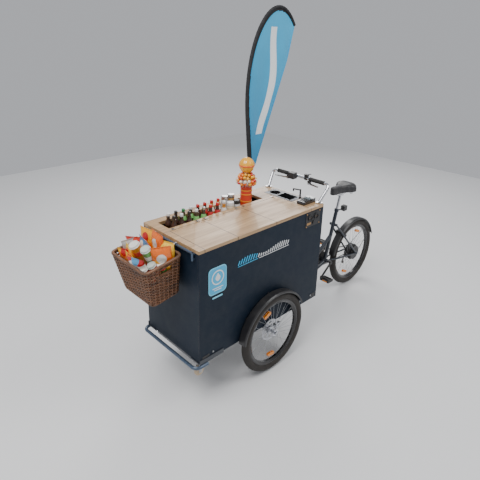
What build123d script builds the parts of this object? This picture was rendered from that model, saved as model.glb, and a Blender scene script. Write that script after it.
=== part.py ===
from build123d import *
from math import cos, hypot, pi, radians, sin, tan
import os

os.makedirs("parts", exist_ok=True)

# Front-loading vending tricycle.  The box rides on the two front wheels, and the rear frame
# swivels under it.  Millimetres: -Y is forward, +X is the rider's left, +Z is up, and the
# ground is Z = 0.  The origin is on the ground under the middle of the whole object.

# ---- driving dimensions: box ----
box_width = 588
box_length = 1224
box_height = 809
rail_height = 24
worktop_thick = 22
panel_thick = 15
floor_thick = 15
well_edge = 98              # left edge of the bottle well, measured right of the centre line
well_width = 129
well_front = 68             # distances back from the box's front face
well_back = 960
shelf_depth = 194
hinge_line = 60             # right of the centre line
lid_marks = [47, 320, 686, 1070]
lid_gap = 2
divider_thick = 12

# ---- driving dimensions: wheels and steering ----
front_axle_back = 657
wheel_plane = box_width / 2 + 43
front_bead = 507
rear_bead = 559
tyre_section = 60
rim_width = 34
rim_depth = 20
rear_axle_back = 2193
fender_gap = 15
fender_wall = 2
fender_width = 66
kingpin_back = 1090
kingpin_radius = 15
beam_radius = 20
running_gap = 0.05
seat_gap = 0.3

# ---- driving dimensions: rear frame and drive ----
bracket_back = 1745         # bottom bracket
bracket_height = 390
seat_tube_back = 1868       # seat tube's top
seat_tube_top = 880
seat_tube_radius = 17
post_radius = 13.6
crank_length = 165
crank_angle = 218           # of the left crank, degrees from straight back, turning upward
chainring_teeth = 38
cog_teeth = 18
chain_pitch = 12.7
chain_line = 46
saddle_top = 1112
saddle_length = 275
saddle_width = 205

# ---- driving dimensions: handlebar, basket, flag ----
bar_radius = 12
bar_wall = 2.5
bar_half_width = 288
bar_rise = 135
bar_back = 1290
bar_foot_x = 262
grip_length = 118
basket_top_width = 397
basket_top_depth = 272
basket_height = 270
basket_wall = 9
basket_tilt = 9
basket_x = -22
basket_rim_drop = 50
flag_plane = box_width / 2 + 26     # right of the centre line
flag_foot_back = 1058
flag_foot_drop = 169
flag_lean = 5.6
flag_rise = 1406

# ---- places worked out from the sizes above ----
front_wheel_radius = front_bead / 2 + tyre_section
rear_wheel_radius = rear_bead / 2 + tyre_section
basket_back_gap = 30
tilt = radians(basket_tilt)
basket_reach = basket_back_gap + basket_top_depth * cos(tilt)
rear_fender_radius = rear_wheel_radius + fender_gap
rear_reach = rear_axle_back + rear_wheel_radius
front = -(rear_reach - basket_reach) / 2
back = front + box_length
half = box_width / 2
inner_half = half - panel_thick
rail_low = front_wheel_radius + beam_radius + 2.5
box_bottom = rail_low + rail_height
worktop_top = box_bottom + box_height
worktop_under = worktop_top - worktop_thick
shelf_height = worktop_top - shelf_depth
bar_height = worktop_top + bar_rise
basket_rim_height = worktop_top - basket_rim_drop
flag_foot_height = worktop_top - flag_foot_drop
flag_height = worktop_top + flag_rise
front_axle_y = front + front_axle_back
rear_axle_y = front + rear_axle_back
kingpin_y = front + kingpin_back
floor_top = box_bottom + floor_thick
well_left = -well_edge
well_right = -(well_edge + well_width)
hinge_x = -hinge_line

BOTTOM = (Align.CENTER, Align.CENTER, Align.MIN)
CORNER = (Align.MIN, Align.MIN, Align.MIN)


def finish(piece, label):
    """Label a finished piece and write it as its own STEP file."""
    piece.part.label = label
    export_step(piece.part, f"parts/{label}.step")


def block(xs, ys, zs, mode=Mode.ADD):
    """A box between two x, two y and two z values, in the part being built."""
    with Locations((min(xs), min(ys), min(zs))):
        Box(abs(xs[1] - xs[0]), abs(ys[1] - ys[0]), abs(zs[1] - zs[0]), align=CORNER, mode=mode)


def rod(start, end, radius, mode=Mode.ADD):
    """A round bar from start to end, in the part being built."""
    along = Vector(*end) - Vector(*start)
    with Locations(Plane(origin=start, z_dir=along).location):
        Cylinder(radius, along.length, align=BOTTOM, mode=mode)


def disc(x, y, z, radius, thick, mode=Mode.ADD):
    """A round plate on an axis along X, its middle at x."""
    rod((x - thick / 2, y, z), (x + thick / 2, y, z), radius, mode)


def ring_plane(x, y, z):
    """The plane whose local x is world X and whose local y is up, at a wheel's centre."""
    return Plane(origin=(x, y, z), x_dir=(1, 0, 0), z_dir=(0, -1, 0))


def x_axis_at(y, z):
    """The line along X through y and z."""
    return Axis((0, y, z), (1, 0, 0))


# ======================= box =======================
for label, side in (("left_panel", 1), ("right_panel", -1)):
    with BuildPart() as side_panel:
        block((side * inner_half, side * half), (front, back), (box_bottom, worktop_under))
        if side > 0:
            block((inner_half, half), (back - 200, back - 54), (worktop_top - 134, worktop_top - 38),
                  mode=Mode.SUBTRACT)
        rounded = side_panel.edges().filter_by(Axis.Z)
        chamfer(rounded.group_by(Axis.X)[-1 if side > 0 else 0], 1.5)
    finish(side_panel, label)

for label, y_low in (("front_panel", front), ("rear_panel", back - panel_thick)):
    with BuildPart() as end_panel:
        block((-inner_half, inner_half), (y_low, y_low + panel_thick), (box_bottom, worktop_under))
    finish(end_panel, label)

with BuildPart() as floor_panel:
    floor_y = (front + panel_thick, back - panel_thick)
    block((-inner_half, inner_half), floor_y, (box_bottom, floor_top))
finish(floor_panel, "floor_panel")

bay_wall = front + lid_marks[3]
tall = (floor_top, worktop_under)
wall_left = well_left + 3
wall_right = well_right - 3
with BuildPart() as well_liner:
    liner_y = (front + panel_thick, bay_wall - seat_gap)
    block((wall_left, wall_left + divider_thick), liner_y, tall)
    block((wall_right - divider_thick, wall_right), liner_y, tall)
    shelf_z = (shelf_height - divider_thick, shelf_height)
    block((wall_right + seat_gap, wall_left - seat_gap), liner_y, shelf_z)
finish(well_liner, "well_liner")

with BuildPart() as cross_dividers:
    block((-inner_half, inner_half), (bay_wall, bay_wall + divider_thick), tall)
    for mark in lid_marks[1:3]:
        cross = (front + mark - divider_thick / 2, front + mark + divider_thick / 2)
        block((wall_left + divider_thick + seat_gap, inner_half), cross, tall)
finish(cross_dividers, "cross_dividers")

# Worktop: one plate with the bottle well, the lid bay and the sink cut out of it.
sink_left = 103
sink_right = -189
sink_front = back - 152
sink_back = back - 14
sink_lip = 9
with BuildPart() as worktop:
    block((-half, half), (front, back), (worktop_under, worktop_top))
    through = (worktop_under - 1, worktop_top + 1)
    block((well_right, well_left), (front + well_front, front + well_back), through, mode=Mode.SUBTRACT)
    block((hinge_x, half + 1), (front + lid_marks[0], front + lid_marks[3]), through, mode=Mode.SUBTRACT)
    sink_hole_x = (sink_right + sink_lip, sink_left - sink_lip)
    block(sink_hole_x, (sink_front + sink_lip, sink_back - sink_lip), through, mode=Mode.SUBTRACT)
    corners = worktop.edges().filter_by(Axis.Z)
    fillet(corners.filter_by_position(Axis.Y, back - 0.1, back + 0.1), 4)
finish(worktop, "worktop")

# Lids: each is hinged along its right edge and lifts at the left side of the box.
leaf_length = 26
leaf_width = 20
leaf_thick = 1.5
knuckle_radius = 3
pin_radius = 1.4
knuckle_z = worktop_top + knuckle_radius + 0.2
hinge_inset = 34
lid_names = ["front_lid", "middle_lid", "rear_lid"]
hinge_places = []
for name, low, high in zip(lid_names, lid_marks[:-1], lid_marks[1:]):
    y_low = front + low + lid_gap / 2
    y_high = front + high - lid_gap / 2
    places = [y_low + hinge_inset, y_high - hinge_inset]
    hinge_places += places
    with BuildPart() as lid:
        block((hinge_x + lid_gap, half), (y_low, y_high), (worktop_under + seat_gap, worktop_top))
        chamfer(lid.edges().group_by(Axis.Z)[-1].group_by(Axis.X)[-1], 1)
        for place in places:
            ends = (place - leaf_width / 6 + 0.2, place + leaf_width / 6 - 0.2)
            leaf = (hinge_x + 1.5, hinge_x + leaf_length)
            block(leaf, ends, (worktop_top + 0.1, worktop_top + leaf_thick))
            block((hinge_x + 5, hinge_x + leaf_length), (place - leaf_width / 2, place + leaf_width / 2),
                  (worktop_top + 0.1, worktop_top + leaf_thick))
            rod((hinge_x, ends[0], knuckle_z), (hinge_x, ends[1], knuckle_z), knuckle_radius)
            rod((hinge_x, ends[0] - 1, knuckle_z), (hinge_x, ends[1] + 1, knuckle_z),
                pin_radius + running_gap, mode=Mode.SUBTRACT)
    finish(lid, name)

with BuildPart() as fixed_hinge_leaves:
    for place in hinge_places:
        low = place - leaf_width / 2
        high = place + leaf_width / 2
        third = leaf_width / 6
        leaf = (hinge_x - leaf_length, hinge_x - 5)
        block(leaf, (low, high), (worktop_top, worktop_top + leaf_thick))
        for ends in ((low, place - third), (place + third, high)):
            block((hinge_x - 6, hinge_x - 1.5), ends, (worktop_top, worktop_top + leaf_thick))
            rod((hinge_x, ends[0], knuckle_z), (hinge_x, ends[1], knuckle_z), knuckle_radius)
        rod((hinge_x, low, knuckle_z), (hinge_x, high, knuckle_z), pin_radius)
finish(fixed_hinge_leaves, "fixed_hinge_leaves")

# Sink: a pressed unit with a round basin and a rectangular one, their waste pipes and the tap base.
basin_depth = 105
sheet = 1.5
round_radius = 44
round_x = sink_right + 62
basin_mid_y = (sink_front + sink_back) / 2
tap_x = 88
tap_y = sink_back - 20
with BuildPart() as sink_basin:
    block((sink_right, sink_left), (sink_front, sink_back), (worktop_top, worktop_top + sheet))
    basin_x = (round_x + round_radius + 16, sink_left - 34)
    basin_y = (sink_front + 18, sink_back - 18)
    block(basin_x, basin_y, (worktop_top - basin_depth, worktop_top))
    rod((round_x, basin_mid_y, worktop_top - basin_depth), (round_x, basin_mid_y, worktop_top), round_radius)
    block((basin_x[0] + sheet, basin_x[1] - sheet), (basin_y[0] + sheet, basin_y[1] - sheet),
          (worktop_top - basin_depth + sheet, worktop_top + sheet + 1), mode=Mode.SUBTRACT)
    rod((round_x, basin_mid_y, worktop_top - basin_depth + sheet),
        (round_x, basin_mid_y, worktop_top + sheet + 1), round_radius - sheet, mode=Mode.SUBTRACT)
    for drain_x in (round_x, sum(basin_x) / 2):
        rod((drain_x, basin_mid_y, worktop_top - basin_depth - 60),
            (drain_x, basin_mid_y, worktop_top - basin_depth), 14)
        rod((drain_x, basin_mid_y, worktop_top - basin_depth - 61),
            (drain_x, basin_mid_y, worktop_top - basin_depth + sheet + 1), 11, mode=Mode.SUBTRACT)
    rod((tap_x, tap_y, worktop_top + sheet), (tap_x, tap_y, worktop_top + sheet + 8), 11)
    rod((tap_x, tap_y, worktop_top + sheet + 8), (tap_x, tap_y, worktop_top + sheet + 22), 4)
finish(sink_basin, "sink_basin")

# Tap spout: a post that swivels on the tap base, with a square-cornered arm.
spout_foot = worktop_top + sheet + 8 + seat_gap
with BuildPart() as tap_spout:
    rod((tap_x, tap_y, spout_foot), (tap_x, tap_y, spout_foot + 62), 6.5)
    rod((tap_x, tap_y, spout_foot - 1), (tap_x, tap_y, spout_foot + 15), 4 + running_gap, mode=Mode.SUBTRACT)
    rod((tap_x, tap_y, spout_foot + 56), (tap_x - 58, tap_y - 20, spout_foot + 56), 5.5)
    rod((tap_x - 55, tap_y - 19, spout_foot + 56), (tap_x - 55, tap_y - 19, spout_foot + 38), 5.5)
finish(tap_spout, "tap_spout")

# Inside the rear bay: a fresh-water can, a waste can and the battery.
bay_front = bay_wall + divider_thick
bay_back = back - panel_thick
with BuildPart() as battery_and_tanks:
    bay_y = (bay_front + 6, bay_back - 6)
    block((-250, -90), bay_y, (floor_top, floor_top + 330))
    block((-70, 90), bay_y, (floor_top, floor_top + 330))
    block((115, 255), bay_y, (floor_top, floor_top + 220))
    for can_x in (-170, 10):
        mouth = (can_x, sum(bay_y) / 2, floor_top + 330)
        rod(mouth, (can_x, mouth[1], mouth[2] + 18), 26)
finish(battery_and_tanks, "battery_and_tanks")

# Socket plate let into the left panel, with two round sockets and a lock barrel.
plate_y = (back - 212, back - 42)
plate_z = (worktop_top - 144, worktop_top - 28)
with BuildPart() as power_panel:
    block((half, half + 3), plate_y, plate_z)
    block((inner_half, half), (back - 200, back - 54), (plate_z[0] + 10, plate_z[1] - 10))
    block((inner_half - 25, inner_half), (back - 136, back - 58), (plate_z[0] + 10, plate_z[1] - 10))
    for socket_y in (back - 165, back - 95):
        disc(half + 7, socket_y, worktop_top - 71, 24, 8)
        disc(half + 9, socket_y, worktop_top - 71, 19, 6, mode=Mode.SUBTRACT)
    disc(half + 6, back - 118, worktop_top - 117, 15, 6)
    fillet(power_panel.edges().filter_by(Axis.X).filter_by_position(Axis.X, half, half + 4), 5)
finish(power_panel, "power_panel")

# Bolts: domed heads on the side panels.
with BuildPart() as panel_bolts:
    for side in (1, -1):
        for back_from, height in ((110, 45), (1145, 37), (1010, 37)):
            disc(side * (half + 1.5), front + back_from, box_bottom + height, 7, 3)
            disc(side * (half + 4), front + back_from, box_bottom + height, 4.5, 2)
finish(panel_bolts, "panel_bolts")

# Card terminal: a wedge-shaped body on a low foot, with its screen.
terminal_x = (146, 222)
terminal_y = (back - 150, back - 8)
with BuildPart() as card_terminal:
    profile = Plane(origin=(terminal_x[0], 0, 0), x_dir=(0, 1, 0), z_dir=(1, 0, 0))
    with BuildSketch(profile):
        with BuildLine():
            Polyline((terminal_y[0], worktop_top), (terminal_y[1], worktop_top),
                     (terminal_y[1], worktop_top + 34), (terminal_y[0] + 12, worktop_top + 20),
                     (terminal_y[0], worktop_top + 10), close=True)
        make_face()
    extrude(amount=terminal_x[1] - terminal_x[0])
    fillet(card_terminal.edges().filter_by(Axis.Z), 8)
finish(card_terminal, "card_terminal")

# ======================= chassis =======================
rail_x = 180
rail_width = 30
pin_low = rail_low - 125
caster_x = 252
caster_y = front + 24
plate_thick = 8
with BuildPart() as chassis_frame:
    for side in (1, -1):
        span = (side * rail_x - rail_width / 2, side * rail_x + rail_width / 2)
        block(span, (front + 6, back - 30), (rail_low, box_bottom))
    for low in (front + 6, front_axle_y - 60, kingpin_y - 70):
        block((-rail_x, rail_x), (low, low + 40), (rail_low, box_bottom))
    block((-rail_x, rail_x), (kingpin_y - 70, kingpin_y + 40), (rail_low, rail_low + 10))
    rod((0, kingpin_y, pin_low), (0, kingpin_y, rail_low + 10), kingpin_radius)
    rod((0, kingpin_y, pin_low - 12), (0, kingpin_y, pin_low), kingpin_radius + 8)
    for side in (1, -1):
        block((side * 200, side * half), (front - 4, front + 200), (box_bottom - plate_thick, box_bottom))
        upstand_z = (box_bottom - plate_thick, box_bottom + 26)
        block((side * half, side * (half + 6)), (front - 4, front + 200), upstand_z)
    block((caster_x - 26, caster_x + 26), (caster_y - 26, caster_y + 26),
          (box_bottom - plate_thick - 6, box_bottom - plate_thick))
finish(chassis_frame, "chassis_frame")

spindle_radius = 8
spindle_end = wheel_plane + 36
axle_tube_end = half - 2
with BuildPart() as front_axle:
    axle_z = front_wheel_radius
    rod((-axle_tube_end, front_axle_y, axle_z), (axle_tube_end, front_axle_y, axle_z), beam_radius)
    rod((-axle_tube_end + 14, front_axle_y, axle_z), (axle_tube_end - 14, front_axle_y, axle_z),
        beam_radius - 3, mode=Mode.SUBTRACT)
    for side in (1, -1):
        rod((side * axle_tube_end, front_axle_y, axle_z), (side * spindle_end, front_axle_y, axle_z),
            spindle_radius)
        disc(side * (spindle_end - 3), front_axle_y, axle_z, 14, 6)
        clamp_x = (side * (rail_x - 22), side * (rail_x + 22))
        block(clamp_x, (front_axle_y - 18, front_axle_y + 18), (axle_z + 12, rail_low))
        arm_x = (side * (axle_tube_end - 8), side * axle_tube_end)
        block(arm_x, (front_axle_y, front_axle_y + 108), (axle_z - 16, axle_z + 12))
finish(front_axle, "front_axle")

rotor_radius = 85
rotor_x = wheel_plane - 32
with BuildPart() as front_calipers:
    for side in (1, -1):
        body = (side * axle_tube_end, side * (rotor_x + 7.5))
        block(body, (front_axle_y + 58, front_axle_y + 106), (axle_z - 20, axle_z + 20))
        slot = (side * (rotor_x - 2.5), side * (rotor_x + 2.5))
        block(slot, (front_axle_y + 50, front_axle_y + rotor_radius + 3), (axle_z - 30, axle_z + 30),
              mode=Mode.SUBTRACT)
finish(front_calipers, "front_calipers")

# Fenders: a shallow crowned band round each front wheel, held off the side panel by two blocks.
front_fender_radius = front_wheel_radius + fender_gap


def fender_band(x, y, z, radius, start, stop):
    """A band of fender from start to stop degrees, counted from straight back, turning upward."""
    first = radians(start)
    out = (0, cos(first), sin(first))
    section = Plane(origin=(x, y, z), x_dir=(1, 0, 0), z_dir=Vector(1, 0, 0).cross(Vector(*out)))
    wide = fender_width / 2
    inside = wide - fender_wall
    side_low = radius - 14
    with BuildSketch(section) as band:
        with BuildLine():
            Polyline((-wide, side_low), (-wide, radius - 5), (-wide + 9, radius + fender_wall),
                     (wide - 9, radius + fender_wall), (wide, radius - 5), (wide, side_low),
                     (inside, side_low), (inside, radius - 6), (wide - 10, radius),
                     (-wide + 10, radius), (-inside, radius - 6), (-inside, side_low), close=True)
        make_face()
    revolve(band.sketch, axis=Axis((x, y, z), (1, 0, 0)), revolution_arc=stop - start)


with BuildPart() as front_fenders:
    for side in (1, -1):
        fender_band(side * wheel_plane, front_axle_y, front_wheel_radius, front_fender_radius, 25, 172)
        for angle in (55, 95, 140):
            block_y = front_axle_y + (front_fender_radius - 8) * cos(radians(angle))
            block_z = front_wheel_radius + (front_fender_radius - 8) * sin(radians(angle))
            post_end = side * (wheel_plane - fender_width / 2 + 1)
            rod((side * half, block_y, block_z), (post_end, block_y, block_z), 5)
finish(front_fenders, "front_fenders")

# Bumper: a tube bent round three sides, ahead of the box's lower edge.
bumper_radius = 12
bumper_x = 300
bumper_y = front - 40
bumper_z = box_bottom - 8 - bumper_radius
with BuildPart() as bumper:
    with BuildLine() as bumper_path:
        FilletPolyline((-bumper_x, front + 60, bumper_z), (-bumper_x, bumper_y, bumper_z),
                       (bumper_x, bumper_y, bumper_z), (bumper_x, front + 60, bumper_z), radius=40)
    with BuildSketch(Plane(origin=(-bumper_x, front + 60, bumper_z), z_dir=(0, -1, 0))):
        Circle(bumper_radius)
        Circle(bumper_radius - bar_wall, mode=Mode.SUBTRACT)
    sweep(path=bumper_path.wire())
finish(bumper, "bumper")

# Caster under the left front corner.
caster_radius = 36
caster_plate_low = box_bottom - plate_thick - 6
caster_axle_z = caster_plate_low - 70
with BuildPart() as caster_fork:
    rod((caster_x, caster_y, caster_plate_low - 10), (caster_x, caster_y, caster_plate_low - seat_gap), 22)
    for side in (1, -1):
        cheek = (caster_x + side * 14, caster_x + side * 18)
        block(cheek, (caster_y - 12, caster_y + 12), (caster_axle_z - 10, caster_plate_low - 8))
    block((caster_x - 18, caster_x + 18), (caster_y - 12, caster_y + 12),
          (caster_plate_low - 14, caster_plate_low - 8))
    rod((caster_x - 20, caster_y, caster_axle_z), (caster_x + 20, caster_y, caster_axle_z), 4)
finish(caster_fork, "caster_fork")

with BuildPart() as caster_wheel:
    disc(caster_x, caster_y, caster_axle_z, caster_radius, 22)
    fillet(caster_wheel.edges(), 5)
    disc(caster_x, caster_y, caster_axle_z, 4 + running_gap, 30, mode=Mode.SUBTRACT)
finish(caster_wheel, "caster_wheel")

# ======================= wheels =======================
spokes_per_side = 16
spoke_radius = 1.1


def make_tyre(name, x, y, bead):
    """An open tyre casing: a round section, hollow, and open towards the rim."""
    outer = bead / 2 + tyre_section
    middle = outer - tyre_section / 2
    with BuildPart() as tyre:
        with BuildSketch(ring_plane(x, y, outer)):
            with Locations((0, middle)):
                Circle(tyre_section / 2)
                Circle(tyre_section / 2 - 4, mode=Mode.SUBTRACT)
            with Locations((0, bead / 2)):
                Rectangle(rim_width + 2, 14, mode=Mode.SUBTRACT)
        revolve(axis=x_axis_at(y, outer))
    finish(tyre, name)


def make_rim(name, x, y, bead):
    """A channel rim that carries the tyre."""
    outer = bead / 2 + tyre_section
    edge = bead / 2 + 6.5
    with BuildPart() as rim:
        with BuildSketch(ring_plane(x, y, outer)):
            with BuildLine():
                Polyline((-rim_width / 2, edge), (-rim_width / 2, edge - 10), (-9, edge - rim_depth - 6),
                         (9, edge - rim_depth - 6), (rim_width / 2, edge - 10), (rim_width / 2, edge),
                         (rim_width / 2 - 3, edge), (rim_width / 2 - 3, edge - 9), (6, edge - rim_depth - 2),
                         (-6, edge - rim_depth - 2), (-rim_width / 2 + 3, edge - 9),
                         (-rim_width / 2 + 3, edge), close=True)
            make_face()
        revolve(axis=x_axis_at(y, outer))
    finish(rim, name)


def make_spokes(name, x, y, bead, flange_radius, flange_offset):
    """Straight-pull spokes: each side's set leans one way round, the other side's set the other."""
    z = bead / 2 + tyre_section
    inner = bead / 2 + 6.5 - rim_depth - 6 - 0.6
    lean = radians(24)
    with BuildPart() as spokes:
        for number in range(2 * spokes_per_side):
            side = 1 if number % 2 else -1
            angle = number * pi / spokes_per_side
            foot_angle = angle + side * lean * (1.6 if flange_radius > 60 else 2.6)
            foot = (x + side * flange_offset, y + (flange_radius + 1.3) * cos(foot_angle),
                    z + (flange_radius + 1.3) * sin(foot_angle))
            tip = (x + side * 4, y + inner * cos(angle), z + inner * sin(angle))
            rod(foot, tip, spoke_radius)
    finish(spokes, name)


for name, side in (("left", 1), ("right", -1)):
    x = side * wheel_plane
    make_tyre(f"{name}_front_tyre", x, front_axle_y, front_bead)
    make_rim(f"{name}_front_rim", x, front_axle_y, front_bead)
    make_spokes(f"{name}_front_spokes", x, front_axle_y, front_bead, 28, 22)
    with BuildPart() as front_hub:
        disc(x, front_axle_y, front_wheel_radius, 16, 58)
        for offset in (-22, 22):
            disc(x + offset, front_axle_y, front_wheel_radius, 28, 4)
        disc(side * rotor_x, front_axle_y, front_wheel_radius, rotor_radius, 2)
        disc(side * (rotor_x + 2.5), front_axle_y, front_wheel_radius, 24, 4)
        with Locations(Plane(origin=(side * rotor_x, front_axle_y, front_wheel_radius),
                             z_dir=(1, 0, 0)).location):
            with PolarLocations(54, 6):
                Cylinder(16, 6, mode=Mode.SUBTRACT)
        disc(x, front_axle_y, front_wheel_radius, spindle_radius + running_gap, 90, mode=Mode.SUBTRACT)
    finish(front_hub, f"{name}_front_hub")

make_tyre("rear_tyre", 0, rear_axle_y, rear_bead)
make_rim("rear_rim", 0, rear_axle_y, rear_bead)
motor_radius = 82
make_spokes("rear_spokes", 0, rear_axle_y, rear_bead, motor_radius, 20)
rear_axle_radius = 6
with BuildPart() as rear_hub:
    disc(2, rear_axle_y, rear_wheel_radius, motor_radius - 6, 64)
    fillet(rear_hub.edges(), 8)
    for offset in (-20, 20):
        disc(offset, rear_axle_y, rear_wheel_radius, motor_radius, 4)
    disc(-39, rear_axle_y, rear_wheel_radius, 17, 22)
    disc(41, rear_axle_y, rear_wheel_radius, 22, 18)
    disc(46, rear_axle_y, rear_wheel_radius, 70, 2)
    disc(0, rear_axle_y, rear_wheel_radius, rear_axle_radius + running_gap, 160, mode=Mode.SUBTRACT)
finish(rear_hub, "rear_hub")

# ======================= handlebar =======================
foot_y = back - 16
bar_y = front + bar_back
with BuildPart() as handlebar:
    with BuildLine() as bar_path:
        FilletPolyline((-bar_foot_x, foot_y, worktop_top + 9), (-bar_half_width, bar_y, bar_height),
                       (bar_half_width, bar_y, bar_height), (bar_foot_x, foot_y, worktop_top + 9), radius=34)
    start_plane = Plane(origin=bar_path.wire() @ 0, z_dir=bar_path.wire() % 0)
    with BuildSketch(start_plane):
        Circle(bar_radius)
        Circle(bar_radius - bar_wall, mode=Mode.SUBTRACT)
    sweep(path=bar_path.wire())
    for side in (1, -1):
        block((side * bar_foot_x - 22, side * bar_foot_x + 22), (back - 36, back - 1),
              (worktop_top, worktop_top + 8))
finish(handlebar, "handlebar")

grip_outer = bar_half_width - 50
with BuildPart() as grips:
    for side in (1, -1):
        inner_end = (side * (grip_outer - grip_length), bar_y, bar_height)
        outer_end = (side * grip_outer, bar_y, bar_height)
        rod(inner_end, outer_end, bar_radius + 5)
        rod(inner_end, outer_end, bar_radius + 0.1, mode=Mode.SUBTRACT)
    fillet(grips.edges().filter_by(GeomType.CIRCLE).filter_by(lambda edge: edge.radius > bar_radius + 4), 3)
finish(grips, "grips")

# Controls: clamps for both brake levers, a display with the shifter on the right and a phone clip.
lever_x = grip_outer - grip_length - 14
lever_drop = 24
lever_ahead = 26
lever_pivot_y = bar_y - lever_ahead
lever_pivot_z = bar_height - lever_drop
with BuildPart() as bar_controls:
    for side in (1, -1):
        disc(side * lever_x, bar_y, bar_height, 18, 20)
        block((side * (lever_x - 9), side * (lever_x + 9)), (lever_pivot_y - 9, bar_y - 6),
              (lever_pivot_z - 9, bar_height - 6))
    disc(-lever_x + 32, bar_y, bar_height, 20, 38)
    block((-lever_x + 14, -lever_x + 66), (bar_y - 42, bar_y + 6), (bar_height - 26, bar_height + 24))
    disc(60, bar_y, bar_height, 17, 18)
    block((46, 76), (bar_y - 12, bar_y + 12), (bar_height + 12, bar_height + 34))
    rod((61, bar_y, bar_height + 28), (96, bar_y + 12, bar_height + 40), 3)
    disc(0, bar_y, bar_height, bar_radius + 0.1, 700, mode=Mode.SUBTRACT)
    for side in (1, -1):
        gap = (side * (lever_x - 9.5), side * (lever_x + 20))
        block(gap, (lever_pivot_y - 12, lever_pivot_y + 8.5), (lever_pivot_z - 5.3, lever_pivot_z + 5.3),
              mode=Mode.SUBTRACT)
        rod((side * lever_x, lever_pivot_y, lever_pivot_z - 9),
            (side * lever_x, lever_pivot_y, lever_pivot_z + 9), 2.5)
finish(bar_controls, "bar_controls")

for name, side in (("left_brake_lever", 1), ("right_brake_lever", -1)):
    with BuildPart() as lever:
        rod((side * lever_x, lever_pivot_y, lever_pivot_z - 5),
            (side * lever_x, lever_pivot_y, lever_pivot_z + 5), 8)
        blade_low = lever_pivot_z - 4
        with BuildSketch(Plane.XY.offset(blade_low)):
            with BuildLine():
                Polyline((side * lever_x, lever_pivot_y + 7), (side * (lever_x + 30), lever_pivot_y - 8),
                         (side * (lever_x + 112), lever_pivot_y - 24),
                         (side * (lever_x + 112), lever_pivot_y - 34),
                         (side * (lever_x + 28), lever_pivot_y - 22),
                         (side * lever_x, lever_pivot_y - 7), close=True)
            make_face()
        extrude(amount=8)
        rod((side * lever_x, lever_pivot_y, lever_pivot_z - 20),
            (side * lever_x, lever_pivot_y, lever_pivot_z + 20), 2.5 + running_gap, mode=Mode.SUBTRACT)
    finish(lever, name)

# ======================= basket =======================
rail_tube_radius = 8
rail_tube_y = front - 15
rail_tube_z = worktop_top - 20
with BuildPart() as front_rail:
    rod((-250, rail_tube_y, rail_tube_z), (250, rail_tube_y, rail_tube_z), rail_tube_radius)
    for side in (1, -1):
        rod((side * 250, rail_tube_y, rail_tube_z), (side * 250, rail_tube_y, rail_tube_z - 50),
            rail_tube_radius)
        for stem_z in (rail_tube_z - 8, rail_tube_z - 44):
            rod((side * 250, rail_tube_y, stem_z), (side * 250, front, stem_z), 6)
finish(front_rail, "front_rail")

basket_y = front - basket_back_gap
basket_plane = Plane(origin=(basket_x, basket_y, basket_rim_height), x_dir=(1, 0, 0),
                     z_dir=(0, -sin(tilt), cos(tilt)))
side_taper = 32
front_taper = 20
back_taper = basket_height * tan(tilt)


def basket_hull(inset, depth_below):
    """The basket's tapered hull, taken in by inset, down to depth_below under the rim."""
    share = depth_below / basket_height
    top_depth = basket_top_depth - 2 * inset
    low_depth = top_depth - share * (front_taper + back_taper)
    low_middle = -(inset + share * back_taper) - low_depth / 2
    with BuildSketch(basket_plane) as rim_outline:
        with Locations((0, -inset - top_depth / 2)):
            RectangleRounded(basket_top_width - 2 * inset, top_depth, 30)
    with BuildSketch(basket_plane.offset(-depth_below)) as base_outline:
        with Locations((0, low_middle)):
            RectangleRounded(basket_top_width - 2 * inset - 2 * share * side_taper, low_depth, 30)
    return [rim_outline.sketch, base_outline.sketch]


with BuildPart() as basket:
    outer = basket_hull(0, basket_height)
    loft(outer)
    inner = basket_hull(basket_wall, basket_height - basket_wall)
    loft(inner, mode=Mode.SUBTRACT)
    for side in (1, -1):
        hook_x = basket_x + side * 110
        hook_z = (basket_rim_height - 20, rail_tube_z + 14)
        block((hook_x - 8, hook_x + 8), (basket_y - 7, basket_y - 3), hook_z)
        block((hook_x - 8, hook_x + 8), (rail_tube_y - 11, rail_tube_y + 9),
              (rail_tube_z + rail_tube_radius + 0.3, rail_tube_z + 14))
        block((hook_x - 8, hook_x + 8), (basket_y - 7, rail_tube_y - 8.5),
              (rail_tube_z + 4, rail_tube_z + 14))
finish(basket, "basket")

# Snack packs: bags and tubs that stand on the basket's floor and reach above its rim.
pack_floor = basket_height - basket_wall - seat_gap
with BuildPart() as snack_packs:
    bags = [(-98, -84, 104, 38, 345), (10, -80, 100, 40, 350), (112, -84, 84, 40, 325),
            (-98, -140, 104, 44, 310), (14, -140, 104, 44, 330), (118, -140, 64, 60, 290),
            (60, -205, 84, 56, 300)]
    for bag_x, bag_y, wide, thick, height in bags:
        with BuildSketch(basket_plane.offset(-pack_floor)):
            with Locations((bag_x, bag_y)):
                RectangleRounded(wide, thick, 12)
        extrude(amount=height)
finish(snack_packs, "snack_packs")

# ======================= goods in the bottle well =======================


def bottle(x, y, radius, height, neck):
    """A closed bottle or jar standing on the well's shelf; neck is its neck radius."""
    shoulder = height - 95 if neck < radius - 6 else height - 24
    with BuildSketch(Plane(origin=(x, y, shelf_height), x_dir=(1, 0, 0), z_dir=(0, -1, 0))) as half_profile:
        with BuildLine():
            Polyline((0, 0), (radius, 0), (radius, shoulder), (neck, shoulder + 34 if height > shoulder + 40
                     else shoulder + 12), (neck, height), (0, height), close=True)
        make_face()
    revolve(half_profile.sketch, axis=Axis((x, y, shelf_height), (0, 0, 1)))


well_rows = (well_left - 32, well_right + 32)
with BuildPart() as drink_containers:
    for place in range(10):
        y = front + 132 + 64 * place
        for row_x in well_rows:
            if place < 8:
                bottle(row_x, y, 28, 255, 13)
            else:
                bottle(row_x, y, 29, 232 if row_x > -150 else 262, 27)
finish(drink_containers, "drink_containers")

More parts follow.
